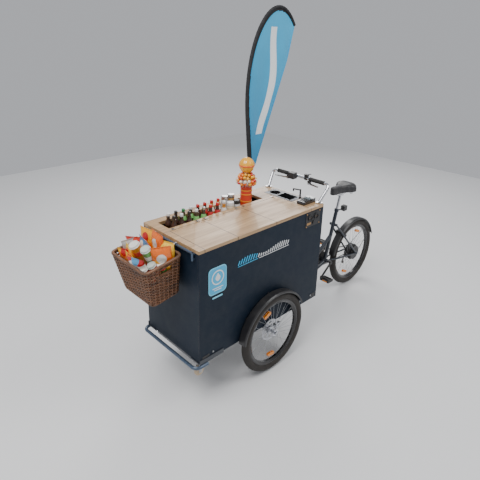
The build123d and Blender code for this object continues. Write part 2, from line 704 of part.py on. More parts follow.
stand_radius = 46
stand_x = well_left - stand_radius - 3
stand_y = front + 822
with BuildPart() as lolly_stand:
    collar = worktop_top + 118
    rod((stand_x, stand_y, shelf_height), (stand_x, stand_y, collar), stand_radius)
    for radius, height, next_radius, next_height in ((stand_radius, 0, 84, 52), (84, 52, 42, 112)):
        with BuildSketch(Plane.XY.offset(collar + height)) as lower:
            with Locations((stand_x, stand_y)):
                Circle(radius)
        with BuildSketch(Plane.XY.offset(collar + next_height)) as upper:
            with Locations((stand_x, stand_y)):
                Circle(next_radius)
        loft([lower.sketch, upper.sketch])
    with Locations((stand_x, stand_y, collar + 165)):
        Sphere(60)
finish(lolly_stand, "lolly_stand")

# ======================= flag =======================
lean = radians(flag_lean)
pole_radius = 9
foot = (-flag_plane, front + flag_foot_back, flag_foot_height)


def along_pole(distance):
    """The point on the flag's straight lower pole, a distance up from its foot."""
    return (foot[0], foot[1] - distance * sin(lean), foot[2] + distance * cos(lean))


with BuildPart() as flag_bracket:
    rod(along_pole(-60), along_pole(60), 15)
    rod(along_pole(-50), along_pole(62), 6 + running_gap, mode=Mode.SUBTRACT)
    for height in (-35, 35):
        middle = along_pole(height)
        block((-half, foot[0] + 6), (middle[1] - 10, middle[1] + 10), (middle[2] - 8, middle[2] + 8))
    block((-half, -half - 4), (foot[1] - 30, foot[1] + 30), (foot[2] - 60, foot[2] + 60))
    rod(along_pole(-50), along_pole(62), 6 + running_gap, mode=Mode.SUBTRACT)
finish(flag_bracket, "flag_bracket")

flag_side = Plane(origin=(-flag_plane, 0, 0), x_dir=(0, 1, 0), z_dir=(1, 0, 0))
pole_low = along_pole(62 + seat_gap)
pole_bend = along_pole(760)
arch_rise = 660
arch_fall = 400
flag_tip = (front + 1490, flag_height - 130)


def flag_arch():
    """The bent top of the pole, in the line being drawn."""
    Bezier((pole_bend[1], pole_bend[2]),
           (pole_bend[1] - arch_rise * sin(lean), pole_bend[2] + arch_rise * cos(lean)),
           (flag_tip[0] - 0.52 * arch_fall, flag_tip[1] + 0.85 * arch_fall), flag_tip)


with BuildPart() as flag_pole:
    rod(along_pole(-48), along_pole(90), 6)
    rod(pole_low, along_pole(82), pole_radius + 3)
    with BuildLine(flag_side) as pole_path:
        Line((pole_low[1], pole_low[2]), (pole_bend[1], pole_bend[2]))
        flag_arch()
    with BuildSketch(Plane(origin=pole_low, z_dir=(0, -sin(lean), cos(lean)))):
        Circle(pole_radius)
    sweep(path=pole_path.wire())
finish(flag_pole, "flag_pole")

with BuildPart() as flag_cloth:
    cloth_foot = along_pole(345)
    with BuildSketch(flag_side) as cloth_outline:
        with BuildLine():
            Line((cloth_foot[1], cloth_foot[2]), (pole_bend[1], pole_bend[2]))
            flag_arch()
            Polyline(flag_tip, (front + 1420, flag_height - 395), (front + 1085, cloth_foot[2] + 12),
                     (cloth_foot[1], cloth_foot[2]))
        make_face()
    extrude(amount=1, both=True)
    with BuildSketch(Plane(origin=pole_low, z_dir=(0, -sin(lean), cos(lean)))) as sleeve:
        Circle(pole_radius + seat_gap)
    sweep(sleeve.sketch, path=pole_path.wire(), mode=Mode.SUBTRACT)
finish(flag_cloth, "flag_cloth")

# ======================= rear frame =======================
bracket_y = front + bracket_back
seat_top_y = front + seat_tube_back
seat_run = seat_tube_back - bracket_back
seat_rise = seat_tube_top - bracket_height
seat_length = hypot(seat_run, seat_rise)
seat_dir = (0, seat_run / seat_length, seat_rise / seat_length)


def along_seat(distance, x=0):
    """A point on the seat tube's line, a distance up from the bottom bracket."""
    return (x, bracket_y + distance * seat_dir[1], bracket_height + distance * seat_dir[2])


head_low = pin_low + seat_gap
head_high = rail_low - seat_gap
shell_half = 34
stay_x = 62
spindle_bore = 9
with BuildPart() as rear_frame:
    rod((0, kingpin_y, head_low), (0, kingpin_y, head_high), 24)
    knee = (0, back + 60, 268)
    rod((0, kingpin_y, 262), knee, 21)
    rod(knee, (0, bracket_y, bracket_height - 6), 21)
    with Locations(knee):
        Sphere(21)
    rod((0, back + 120, 300), along_seat(245), 16)
    rod((-shell_half, bracket_y, bracket_height), (shell_half, bracket_y, bracket_height), 22)
    rod(along_seat(0), along_seat(seat_length), seat_tube_radius)
    rod(along_seat(seat_length - 26), along_seat(seat_length), seat_tube_radius + 4)
    stay_top = along_seat(352)
    for side in (1, -1):
        stay_low = (side * stay_x, rear_axle_y, rear_wheel_radius)
        rod((side * 34, stay_top[1] + 8, stay_top[2]), stay_low, 9)
        chainstay = [(side * 22, bracket_y + 8, bracket_height),
                     (side * 32, bracket_y + 84, bracket_height - 6),
                     (side * 46, bracket_y + 130, bracket_height - 12),
                     (side * stay_x, rear_axle_y, rear_wheel_radius)]
        for start, end in zip(chainstay[:-1], chainstay[1:]):
            rod(start, end, 8.5)
            with Locations(start):
                Sphere(8.5)
        disc(side * stay_x, rear_axle_y, rear_wheel_radius, 20, 8)
    rod((-38, stay_top[1] + 8, stay_top[2]), (38, stay_top[1] + 8, stay_top[2]), 13)
    rod((-78, rear_axle_y, rear_wheel_radius), (78, rear_axle_y, rear_wheel_radius), rear_axle_radius)
    for side in (1, -1):
        disc(side * 70, rear_axle_y, rear_wheel_radius, 11, 8)
    rod(along_seat(60), along_seat(seat_length + 20), post_radius + running_gap, mode=Mode.SUBTRACT)
    rod((-60, bracket_y, bracket_height), (60, bracket_y, bracket_height), spindle_bore + running_gap,
        mode=Mode.SUBTRACT)
    rod((0, kingpin_y, head_low - 5), (0, kingpin_y, head_high + 5), kingpin_radius + running_gap,
        mode=Mode.SUBTRACT)
finish(rear_frame, "rear_frame")

# Seat post with its clamp head and the saddle's two rails and springs.
saddle_rail_z = saddle_top - 92
rail_run = (saddle_rail_z - bracket_height) / seat_dir[2]
post_head = along_seat(rail_run)
with BuildPart() as seat_post:
    rod(along_seat(seat_length - 190), along_seat(rail_run - 8), post_radius)
    block((-24, 24), (post_head[1] - 18, post_head[1] + 18), (saddle_rail_z - 14, saddle_rail_z + 8))
    for side in (1, -1):
        rod((side * 20, post_head[1] - 70, saddle_rail_z), (side * 20, post_head[1] + 90, saddle_rail_z), 3.5)
        rod((side * 20, post_head[1] - 69, saddle_rail_z),
            (side * 12, post_head[1] - 118, saddle_rail_z + 30), 3.5)
        rod((side * 60, post_head[1] + 86, saddle_rail_z - 4),
            (side * 60, post_head[1] + 86, saddle_rail_z + 34), 14)
    rod((-60, post_head[1] + 86, saddle_rail_z), (60, post_head[1] + 86, saddle_rail_z), 3.5)
finish(seat_post, "seat_post")

saddle_low = saddle_top - 58
saddle_back = post_head[1] + 132
saddle_front = saddle_back - saddle_length
with BuildPart() as saddle:
    wide = saddle_width / 2
    nose = 24
    with BuildSketch(Plane.XY.offset(saddle_low)) as saddle_outline:
        Polygon((nose, saddle_front), (nose + 16, saddle_front + 125), (wide, saddle_back - 105),
                (wide, saddle_back - 30), (wide - 40, saddle_back), (-wide + 40, saddle_back),
                (-wide, saddle_back - 30), (-wide, saddle_back - 105), (-nose - 16, saddle_front + 125),
                (-nose, saddle_front), align=None)
        fillet(saddle_outline.vertices(), 18)
    extrude(amount=saddle_top - saddle_low)
    fillet(saddle.edges().group_by(Axis.Z)[-1], 12)
    hollow_y = (saddle_front - 5, saddle_back - 45)
    block((-30, 30), hollow_y, (saddle_low - 5, saddle_low + 14), mode=Mode.SUBTRACT)
finish(saddle, "saddle")

with BuildPart() as rear_fender:
    fender_band(0, rear_axle_y, rear_wheel_radius, rear_fender_radius, 18, 168)
    reach = radians(32)
    for side in (1, -1):
        tip = (side * (fender_width / 2 + 1), rear_axle_y + (rear_fender_radius - 12) * cos(reach),
               rear_wheel_radius + (rear_fender_radius - 12) * sin(reach))
        low = (side * (stay_x - 2), rear_axle_y + 20.6 * cos(reach), rear_wheel_radius + 20.6 * sin(reach))
        rod(tip, low, 2.5)
finish(rear_fender, "rear_fender")

# Ring lock across the seat stays, and the rear lamp on its stalk.
with BuildPart() as lock_and_lamp:
    stay_run = Vector(0, stay_top[1] + 8 - rear_axle_y, stay_top[2] - rear_wheel_radius).normalized()
    lock_thick = 18
    lock_plane = Plane(origin=(0, rear_axle_y, rear_wheel_radius), x_dir=(1, 0, 0),
                       z_dir=Vector(1, 0, 0).cross(stay_run)).offset(-9 - seat_gap - lock_thick / 2)
    with BuildSketch(lock_plane):
        with Locations((0, rear_wheel_radius - 12)):
            RectangleRounded(104, 92, 30)
            Rectangle(80, 60, mode=Mode.SUBTRACT)
        with Locations((0, rear_wheel_radius - 60)):
            Rectangle(120, 50, mode=Mode.SUBTRACT)
    extrude(amount=lock_thick / 2, both=True)
    lamp_y = seat_top_y + 96
    lamp_z = seat_tube_top - 22
    block((-20, 20), (lamp_y, lamp_y + 46), (lamp_z - 24, lamp_z + 24))
    rod((0, seat_top_y + seat_tube_radius + 1.3, lamp_z), (0, lamp_y, lamp_z), 6)
finish(lock_and_lamp, "lock_and_lamp")

# ======================= drive =======================
ring_pitch_radius = chain_pitch / (2 * sin(pi / chainring_teeth))
cog_pitch_radius = chain_pitch / (2 * sin(pi / cog_teeth))
drive_plane_x = -chain_line


def toothed_disc(y, z, pitch_radius, teeth, thick):
    """A sprocket: a disc with a round notch between each two teeth."""
    tip = pitch_radius + 1.5
    face = Plane(origin=(drive_plane_x - thick / 2, y, z), x_dir=(0, 1, 0), z_dir=(1, 0, 0))
    with BuildSketch(face) as sprocket:
        Circle(tip)
        with PolarLocations(pitch_radius, teeth):
            Circle(4.2, mode=Mode.SUBTRACT)
    extrude(sprocket.sketch, amount=thick)


crank_x = 62
crank_turn = radians(crank_angle)


def on_crank(distance, side, x):
    """A point along a crank, which lies opposite on the other side."""
    reach = side * distance
    return (x, bracket_y + reach * cos(crank_turn), bracket_height + reach * sin(crank_turn))


pedal_spindle = 5
with BuildPart() as crankset:
    rod((-crank_x - 8, bracket_y, bracket_height), (crank_x + 8, bracket_y, bracket_height), spindle_bore)
    toothed_disc(bracket_y, bracket_height, ring_pitch_radius, chainring_teeth, 3)
    for side in (1, -1):
        middle = side * (crank_x + 9)
        rod(on_crank(0, side, middle - 7), on_crank(0, side, middle + 7), 18)
        rod(on_crank(0, side, middle), on_crank(crank_length, side, middle), 9)
        rod(on_crank(crank_length, side, middle - 8), on_crank(crank_length, side, middle + 8), 13)
        rod(on_crank(crank_length, side, middle), on_crank(crank_length, side, middle + side * 104),
            pedal_spindle)
    rod((-crank_x, bracket_y, bracket_height), (drive_plane_x + 6, bracket_y, bracket_height), 24)
finish(crankset, "crankset")

for name, side in (("left_pedal", 1), ("right_pedal", -1)):
    hub_end = side * (crank_x + 9 + 10)
    centre = on_crank(crank_length, side, 0)
    with BuildPart() as pedal:
        body_y = (centre[1] - 38, centre[1] + 38)
        block((hub_end, hub_end + side * 92), body_y, (centre[2] - 11, centre[2] + 11))
        fillet(pedal.edges().filter_by(Axis.X), 6)
        for half_side in (1, -1):
            slot_y = (centre[1] + half_side * 12, centre[1] + half_side * 30)
            block((hub_end + side * 12, hub_end + side * 80), slot_y, (centre[2] - 20, centre[2] + 20),
                  mode=Mode.SUBTRACT)
        rod((hub_end - side, centre[1], centre[2]), (hub_end + side * 100, centre[1], centre[2]),
            pedal_spindle + running_gap, mode=Mode.SUBTRACT)
    finish(pedal, name)

with BuildPart() as rear_cog:
    toothed_disc(rear_axle_y, rear_wheel_radius, cog_pitch_radius, cog_teeth, 3)
    disc(drive_plane_x, rear_axle_y, rear_wheel_radius, 17 + running_gap, 30, mode=Mode.SUBTRACT)
finish(rear_cog, "rear_cog")

# Chain: a closed run round both sprockets, with the derailleur's cage and two jockey wheels.
chain_half = 4
chain_play = 1.5 + 0.4
with BuildPart() as drive_chain:
    chain_face = Plane(origin=(drive_plane_x - 3, 0, 0), x_dir=(0, 1, 0), z_dir=(1, 0, 0))

    def run_outline(extra):
        """Both sprockets' circles, grown by extra, as a sketch to be wrapped."""
        with BuildSketch(chain_face) as outline:
            with Locations((bracket_y, bracket_height)):
                Circle(ring_pitch_radius + extra)
            with Locations((rear_axle_y, rear_wheel_radius)):
                Circle(cog_pitch_radius + extra)
            make_hull()
        return outline.sketch

    extrude(run_outline(chain_play + 2 * chain_half), amount=6)
    extrude(run_outline(chain_play), amount=6, mode=Mode.SUBTRACT)
    cage_x = drive_plane_x - 12
    top = (rear_axle_y - 8, rear_wheel_radius - 62)
    low = (rear_axle_y - 40, rear_wheel_radius - 132)
    for centre in (top, low):
        disc(drive_plane_x, centre[0], centre[1], 13, 5)
        disc(cage_x + 4, centre[0], centre[1], 4, 12)
    cage_plane = Plane(origin=(cage_x - 4, 0, 0), x_dir=(0, 1, 0), z_dir=(1, 0, 0))
    with BuildSketch(cage_plane) as cage_outline:
        for centre in (top, low):
            with Locations(centre):
                Circle(12)
        make_hull()
    extrude(cage_outline.sketch, amount=4)
    block((cage_x - 4, cage_x), (top[0] - 8, top[0] + 8), (top[1], rear_wheel_radius - 20.3))
finish(drive_chain, "drive_chain")
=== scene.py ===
import math
import random

import bpy
from mathutils import Matrix, Vector, noise


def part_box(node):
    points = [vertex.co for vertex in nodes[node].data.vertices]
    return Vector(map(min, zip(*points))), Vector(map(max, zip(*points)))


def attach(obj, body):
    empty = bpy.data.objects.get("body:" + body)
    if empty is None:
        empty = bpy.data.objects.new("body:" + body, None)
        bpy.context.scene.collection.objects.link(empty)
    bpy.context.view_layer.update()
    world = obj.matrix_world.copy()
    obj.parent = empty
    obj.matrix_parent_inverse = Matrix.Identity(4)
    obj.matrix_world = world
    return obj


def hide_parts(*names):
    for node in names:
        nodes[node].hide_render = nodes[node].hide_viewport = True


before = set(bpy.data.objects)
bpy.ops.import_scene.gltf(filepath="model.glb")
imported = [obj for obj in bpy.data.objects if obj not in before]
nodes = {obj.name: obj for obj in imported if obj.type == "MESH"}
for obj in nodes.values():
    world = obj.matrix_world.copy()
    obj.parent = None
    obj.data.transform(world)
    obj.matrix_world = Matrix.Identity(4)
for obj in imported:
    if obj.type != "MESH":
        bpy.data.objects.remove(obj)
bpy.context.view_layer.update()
chance = random.Random(7)

# Metres, in the part's own frame: -Y is forward, +X is the rider's left, +Z is up.
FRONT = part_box("front_panel")[0].y
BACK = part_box("rear_panel")[1].y
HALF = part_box("left_panel")[1].x
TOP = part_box("worktop")[1].z
BOX_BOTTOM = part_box("left_panel")[0].z
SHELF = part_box("drink_containers")[0].z
# Seams across the lids, back from the box's front.
LID_MARKS = (0.047, 0.32, 0.686, 1.07)


# ======================= camera, stage and light =======================
def place_camera():
    """A standing viewer's place, ahead of the rider's left side."""
    yaw, pitch, roll = 0.7964, 0.3512, 0.0224
    ahead = Vector((-math.sin(yaw) * math.cos(pitch), math.cos(yaw) * math.cos(pitch), -math.sin(pitch)))
    right = ahead.cross(Vector((0, 0, 1))).normalized()
    up = right.cross(ahead)
    level_right = math.cos(roll) * right + math.sin(roll) * up
    level_up = math.cos(roll) * up - math.sin(roll) * right
    turn = Matrix((level_right, level_up, -ahead)).transposed().to_4x4()
    lens = bpy.data.cameras.new("camera")
    lens.lens = 33.81
    lens.sensor_width = 36
    lens.shift_y = -0.083
    camera = bpy.data.objects.new("camera", lens)
    camera.matrix_world = Matrix.Translation((2.1517, -2.6065, 2.3652)) @ turn
    bpy.context.scene.collection.objects.link(camera)
    bpy.context.scene.camera = camera


def area_light(name, place, target, size, power):
    """A soft square light that faces its target."""
    data = bpy.data.lights.new(name, "AREA")
    data.size = size
    data.energy = power
    lamp = bpy.data.objects.new(name, data)
    lamp.location = place
    lamp.rotation_euler = (Vector(target) - Vector(place)).to_track_quat("-Z", "Y").to_euler()
    bpy.context.scene.collection.objects.link(lamp)


def light_studio():
    """Even light from all round, with a key from the viewer's left and a weak rim light."""
    world = bpy.data.worlds.new("studio")
    world.use_nodes = True
    sky = world.node_tree.nodes["Background"]
    sky.inputs["Color"].default_value = (0.93, 0.95, 1.0, 1)
    sky.inputs["Strength"].default_value = 0.5
    bpy.context.scene.world = world
    area_light("key", (0.4, -3.0, 5.2), (0, -0.2, 0.9), 3.0, 230)
    area_light("side", (3.2, 1.8, 4.6), (0, 0, 0.9), 2.5, 90)
    area_light("rim", (-3.2, 3.2, 3.6), (0, 0.2, 1.0), 2.5, 110)


# ======================= nodes shared by the finishes =======================
def node(tree, kind, settings=None, **values):
    """A shader node; a value that is another node's output is linked, and any other is set."""
    made = tree.nodes.new("ShaderNode" + kind)
    for key, value in (settings or {}).items():
        setattr(made, key, value)
    for key, value in values.items():
        plug(tree, made.inputs[key.replace("_", " ")], value)
    return made


def plug(tree, socket, value):
    """Another node's output is linked to the socket, and any other value is set on it."""
    if isinstance(value, bpy.types.NodeSocket):
        tree.links.new(value, socket)
    else:
        socket.default_value = value


def calc(tree, operation, first, second=0.0, clamp=False):
    """What one Math node makes of two values."""
    made = node(tree, "Math", {"operation": operation, "use_clamp": clamp})
    plug(tree, made.inputs[0], first)
    plug(tree, made.inputs[1], second)
    return made.outputs[0]


def mix(tree, share, first, second, blend="MIX"):
    """Two colours mixed, all the first at a share of 0 and all the second at 1."""
    made = node(tree, "Mix", {"data_type": "RGBA", "blend_type": blend})
    plug(tree, made.inputs[0], share)
    plug(tree, made.inputs[6], first)
    plug(tree, made.inputs[7], second)
    return made.outputs[2]


def spread(tree, value, low, high, to_low, to_high):
    """The value's stretch from low to high, moved on to the stretch to_low to to_high."""
    made = node(tree, "MapRange", From_Min=low, From_Max=high, To_Min=to_low, To_Max=to_high)
    plug(tree, made.inputs["Value"], value)
    return made.outputs["Result"]


def new_group(name, inputs, outputs):
    """An empty shader group with named sockets, and its two end nodes."""
    tree = bpy.data.node_groups.new(name, "ShaderNodeTree")
    for label, kind, value in inputs:
        socket = tree.interface.new_socket(label, in_out="INPUT", socket_type="NodeSocket" + kind)
        socket.default_value = value
    for label, kind in outputs:
        tree.interface.new_socket(label, in_out="OUTPUT", socket_type="NodeSocket" + kind)
    return tree, tree.nodes.new("NodeGroupInput"), tree.nodes.new("NodeGroupOutput")


def make_cloudy():
    """Slow and fine variation of a colour, with a mask and a height for bump and roughness."""
    tree, start, end = new_group(
        "cloudy",
        [("Colour", "Color", (1, 1, 1, 1)), ("Change", "Float", 0.2), ("Size", "Float", 6.0),
         ("Grain", "Float", 300.0), ("Rough", "Float", 0.5), ("Rough Change", "Float", 0.1)],
        [("Colour", "Color"), ("Roughness", "Float"), ("Height", "Float")])
    where = node(tree, "TexCoord").outputs["Object"]
    slow = node(tree, "TexNoise", Vector=where, Scale=start.outputs["Size"], Detail=5.0, Roughness=0.6)
    fine = node(tree, "TexNoise", Vector=where, Scale=start.outputs["Grain"], Detail=2.0)
    centred = calc(tree, "SUBTRACT", slow.outputs[0], 0.5)
    swing = calc(tree, "MULTIPLY", centred, start.outputs["Change"])
    level = calc(tree, "ADD", swing, 1.0)
    scaled = node(tree, "VectorMath", {"operation": "SCALE"})
    tree.links.new(start.outputs["Colour"], scaled.inputs[0])
    tree.links.new(level, scaled.inputs["Scale"])
    tree.links.new(scaled.outputs[0], end.inputs["Colour"])
    rough_swing = calc(tree, "MULTIPLY", centred, start.outputs["Rough Change"])
    tree.links.new(calc(tree, "ADD", start.outputs["Rough"], rough_swing, True), end.inputs["Roughness"])
    tree.links.new(fine.outputs[0], end.inputs["Height"])
    return tree


def make_dust():
    """A thin pale film of dust, more on what faces up."""
    tree, start, end = new_group(
        "dust",
        [("Colour", "Color", (1, 1, 1, 1)), ("Dust", "Color", (0.42, 0.38, 0.33, 1)),
         ("Amount", "Float", 0.1)],
        [("Colour", "Color"), ("Mask", "Float")])
    where = node(tree, "TexCoord")
    facing = node(tree, "SeparateXYZ", Vector=where.outputs["Normal"]).outputs["Z"]
    upward = spread(tree, facing, -0.2, 1.0, 0.25, 1.0)
    patches = node(tree, "TexNoise", Vector=where.outputs["Object"], Scale=14.0, Detail=6.0, Roughness=0.7)
    patchy = spread(tree, patches.outputs[0], 0.4, 0.75, 0.1, 1.0)
    mask = calc(tree, "MULTIPLY", calc(tree, "MULTIPLY", upward, patchy), start.outputs["Amount"], True)
    tree.links.new(mask, end.inputs["Mask"])
    tree.links.new(mix(tree, mask, start.outputs["Colour"], start.outputs["Dust"]), end.inputs["Colour"])
    return tree


def make_edge_wear():
    """Where two faces meet, the finish is rubbed through to the colour under it."""
    tree, start, end = new_group(
        "edge_wear",
        [("Colour", "Color", (1, 1, 1, 1)), ("Bare", "Color", (0.5, 0.5, 0.5, 1)), ("Width", "Float", 0.002),
         ("Amount", "Float", 0.6)],
        [("Colour", "Color"), ("Mask", "Float")])
    rounded = node(tree, "Bevel", {"samples": 4}, Radius=start.outputs["Width"])
    flat = node(tree, "NewGeometry")
    meet = node(tree, "VectorMath", {"operation": "DOT_PRODUCT"})
    tree.links.new(rounded.outputs[0], meet.inputs[0])
    tree.links.new(flat.outputs["Normal"], meet.inputs[1])
    edge = spread(tree, meet.outputs["Value"], 0.98, 0.8, 0.0, 1.0)
    where = node(tree, "TexCoord").outputs["Object"]
    broken = node(tree, "TexNoise", Vector=where, Scale=60.0, Detail=5.0, Roughness=0.7)
    mask = calc(tree, "MULTIPLY", edge, spread(tree, broken.outputs[0], 0.42, 0.62, 0.0, 1.0))
    mask = calc(tree, "MULTIPLY", mask, start.outputs["Amount"], True)
    tree.links.new(mask, end.inputs["Mask"])
    tree.links.new(mix(tree, mask, start.outputs["Colour"], start.outputs["Bare"]), end.inputs["Colour"])
    return tree


GROUPS = {"cloudy": make_cloudy(), "dust": make_dust(), "edge_wear": make_edge_wear()}


def use(tree, group, **values):
    """One of the shared groups, placed in a material."""
    made = tree.nodes.new("ShaderNodeGroup")
    made.node_tree = GROUPS[group]
    for key, value in values.items():
        plug(tree, made.inputs[key.replace("_", " ")], value)
    return made


def rgba(colour):
    """A colour with full cover."""
    return (*colour, 1)


def start_finish(name):
    """A new material, its node tree and its shader."""
    material = bpy.data.materials.new(name)
    material.use_nodes = True
    return material, material.node_tree, material.node_tree.nodes["Principled BSDF"]


def bump(tree, shader, height, strength, distance=0.0005):
    """Relief from a height, on the shader's normal."""
    made = node(tree, "Bump", Strength=strength, Distance=distance, Height=height)
    tree.links.new(made.outputs[0], shader.inputs["Normal"])


def solid(name, colour, rough=0.5, metal=0.0, coat=0.0, change=0.25, size=8.0, grain=400.0, bumpy=0.1,
          dusty=0.1, worn=None, spin=0.2):
    """A paint, plastic, rubber or metal: uneven in colour and gloss, dusty on top, worn at its edges."""
    material, tree, shader = start_finish(name)
    cloud = use(tree, "cloudy", Colour=rgba(colour), Change=change, Size=size, Grain=grain, Rough=rough,
                Rough_Change=spin)
    look = cloud.outputs["Colour"]
    if worn:
        look = use(tree, "edge_wear", Colour=look, Bare=rgba(worn)).outputs["Colour"]
    if dusty:
        look = use(tree, "dust", Colour=look, Amount=dusty).outputs["Colour"]
    tree.links.new(look, shader.inputs["Base Color"])
    tree.links.new(cloud.outputs["Roughness"], shader.inputs["Roughness"])
    shader.inputs["Metallic"].default_value = metal
    shader.inputs["Coat Weight"].default_value = coat
    shader.inputs["Coat Roughness"].default_value = 0.08
    bump(tree, shader, cloud.outputs["Height"], bumpy)
    return material


def brushed(name, colour, rough, along=(1, 1, 1)):
    """A metal with fine drawn lines, stretched along the small parts of along."""
    material, tree, shader = start_finish(name)
    where = node(tree, "TexCoord").outputs["Object"]
    drawn = node(tree, "Mapping", Vector=where, Scale=along)
    lines = node(tree, "TexNoise", Vector=drawn.outputs[0], Scale=260.0, Detail=4.0, Roughness=0.7)
    cloud = use(tree, "cloudy", Colour=rgba(colour), Change=0.3, Size=9.0, Rough=rough, Rough_Change=0.2)
    shade = mix(tree, 0.25, cloud.outputs["Colour"], lines.outputs[1], "SOFT_LIGHT")
    look = use(tree, "dust", Colour=shade, Amount=0.08)
    tree.links.new(look.outputs["Colour"], shader.inputs["Base Color"])
    tree.links.new(cloud.outputs["Roughness"], shader.inputs["Roughness"])
    shader.inputs["Metallic"].default_value = 1.0
    bump(tree, shader, lines.outputs[0], 0.12, 0.0002)
    return material


def oak_laminate():
    """Pale oak boards, their grain along the box, under a satin lacquer."""
    material, tree, shader = start_finish("oak_laminate")
    where = node(tree, "TexCoord").outputs["Object"]
    board = node(tree, "Mapping", Vector=where, Scale=(9.0, 0.55, 9.0))
    rings = node(tree, "TexNoise", Vector=board.outputs[0], Scale=3.2, Detail=9.0, Roughness=0.62,
                 Distortion=0.7)
    pores = node(tree, "Mapping", Vector=where, Scale=(420.0, 14.0, 420.0))
    pore = node(tree, "TexNoise", Vector=pores.outputs[0], Scale=1.0, Detail=3.0, Roughness=0.6)
    tone = mix(tree, spread(tree, rings.outputs[0], 0.36, 0.66, 0.0, 1.0),
               (0.34, 0.2, 0.092, 1), (0.53, 0.345, 0.175, 1))
    dark = spread(tree, pore.outputs[0], 0.56, 0.7, 0.0, 0.5)
    tone = mix(tree, dark, tone, (0.24, 0.13, 0.065, 1))
    parts = node(tree, "SeparateXYZ", Vector=where)
    on_lid = calc(tree, "GREATER_THAN", parts.outputs["X"], -0.0625)
    from_hinges = calc(tree, "ABSOLUTE", calc(tree, "ADD", parts.outputs["X"], 0.06))
    seams = calc(tree, "LESS_THAN", from_hinges, 0.0016)
    for mark in LID_MARKS:
        away = calc(tree, "ABSOLUTE", calc(tree, "SUBTRACT", parts.outputs["Y"], FRONT + mark))
        across_lid = calc(tree, "MULTIPLY", calc(tree, "LESS_THAN", away, 0.0022), on_lid)
        seams = calc(tree, "MAXIMUM", seams, across_lid)
    in_lids = calc(tree, "LESS_THAN", parts.outputs["Y"], FRONT + LID_MARKS[-1] + 0.003)
    tone = mix(tree, calc(tree, "MULTIPLY", seams, in_lids), tone, (0.05, 0.035, 0.025, 1))
    dusted = use(tree, "dust", Colour=tone, Amount=0.06)
    worn = use(tree, "edge_wear", Colour=dusted.outputs["Colour"], Bare=(0.19, 0.1, 0.05, 1), Width=0.0016)
    tree.links.new(worn.outputs["Colour"], shader.inputs["Base Color"])
    tree.links.new(spread(tree, rings.outputs[0], 0.3, 0.7, 0.5, 0.34), shader.inputs["Roughness"])
    shader.inputs["Coat Weight"].default_value = 0.15
    bump(tree, shader, pore.outputs[0], 0.1, 0.0003)
    return material


def navy_board():
    """Dark blue laminate on plywood, whose bare edge shows at the box's back corner."""
    material, tree, shader = start_finish("navy_board")
    where = node(tree, "TexCoord").outputs["Object"]
    cloud = use(tree, "cloudy", Colour=(0.0048, 0.0128, 0.0265, 1), Change=0.5, Size=3.0, Grain=900.0,
                Rough=0.5, Rough_Change=0.25)
    worn = use(tree, "edge_wear", Colour=cloud.outputs["Colour"], Bare=(0.3, 0.2, 0.12, 1), Width=0.0018)
    dusty = use(tree, "dust", Colour=worn.outputs["Colour"], Amount=0.07)
    parts = node(tree, "SeparateXYZ", Vector=where)
    layers = node(tree, "TexWave", {"bands_direction": "X"}, Vector=where, Scale=160.0, Distortion=0.6)
    ply = mix(tree, layers.outputs[1], (0.3, 0.19, 0.1, 1), (0.5, 0.35, 0.21, 1))
    at_back = calc(tree, "GREATER_THAN", parts.outputs["Y"], BACK - 0.0018)
    at_side = calc(tree, "GREATER_THAN", calc(tree, "ABSOLUTE", parts.outputs["X"]), HALF - 0.0149)
    tone = mix(tree, calc(tree, "MULTIPLY", at_back, at_side), dusty.outputs["Colour"], ply)
    tree.links.new(tone, shader.inputs["Base Color"])
    tree.links.new(cloud.outputs["Roughness"], shader.inputs["Roughness"])
    shader.inputs["Specular IOR Level"].default_value = 0.2
    bump(tree, shader, cloud.outputs["Height"], 0.05, 0.0002)
    return material


def willow():
    """Brown willow: fine paler streaks over dark and light patches, drawn out level round the basket."""
    material, tree, shader = start_finish("willow")
    where = node(tree, "TexCoord").outputs["Object"]
    layers = node(tree, "Mapping", Vector=where, Scale=(9.0, 9.0, 95.0))
    patches = node(tree, "TexNoise", Vector=layers.outputs[0], Scale=1.0, Detail=5.0, Roughness=0.7)
    streaks = node(tree, "TexNoise", Vector=where, Scale=420.0, Detail=3.0)
    tone = mix(tree, spread(tree, patches.outputs[0], 0.35, 0.68, 0.0, 1.0),
               (0.03, 0.011, 0.005, 1), (0.26, 0.105, 0.042, 1))
    tone = mix(tree, spread(tree, streaks.outputs[0], 0.5, 0.75, 0.0, 0.5), tone, (0.33, 0.16, 0.07, 1))
    tree.links.new(use(tree, "dust", Colour=tone, Amount=0.12).outputs["Colour"], shader.inputs["Base Color"])
    shader.inputs["Roughness"].default_value = 0.5
    shader.inputs["Coat Weight"].default_value = 0.12
    bump(tree, shader, streaks.outputs[0], 0.35, 0.0006)
    return material


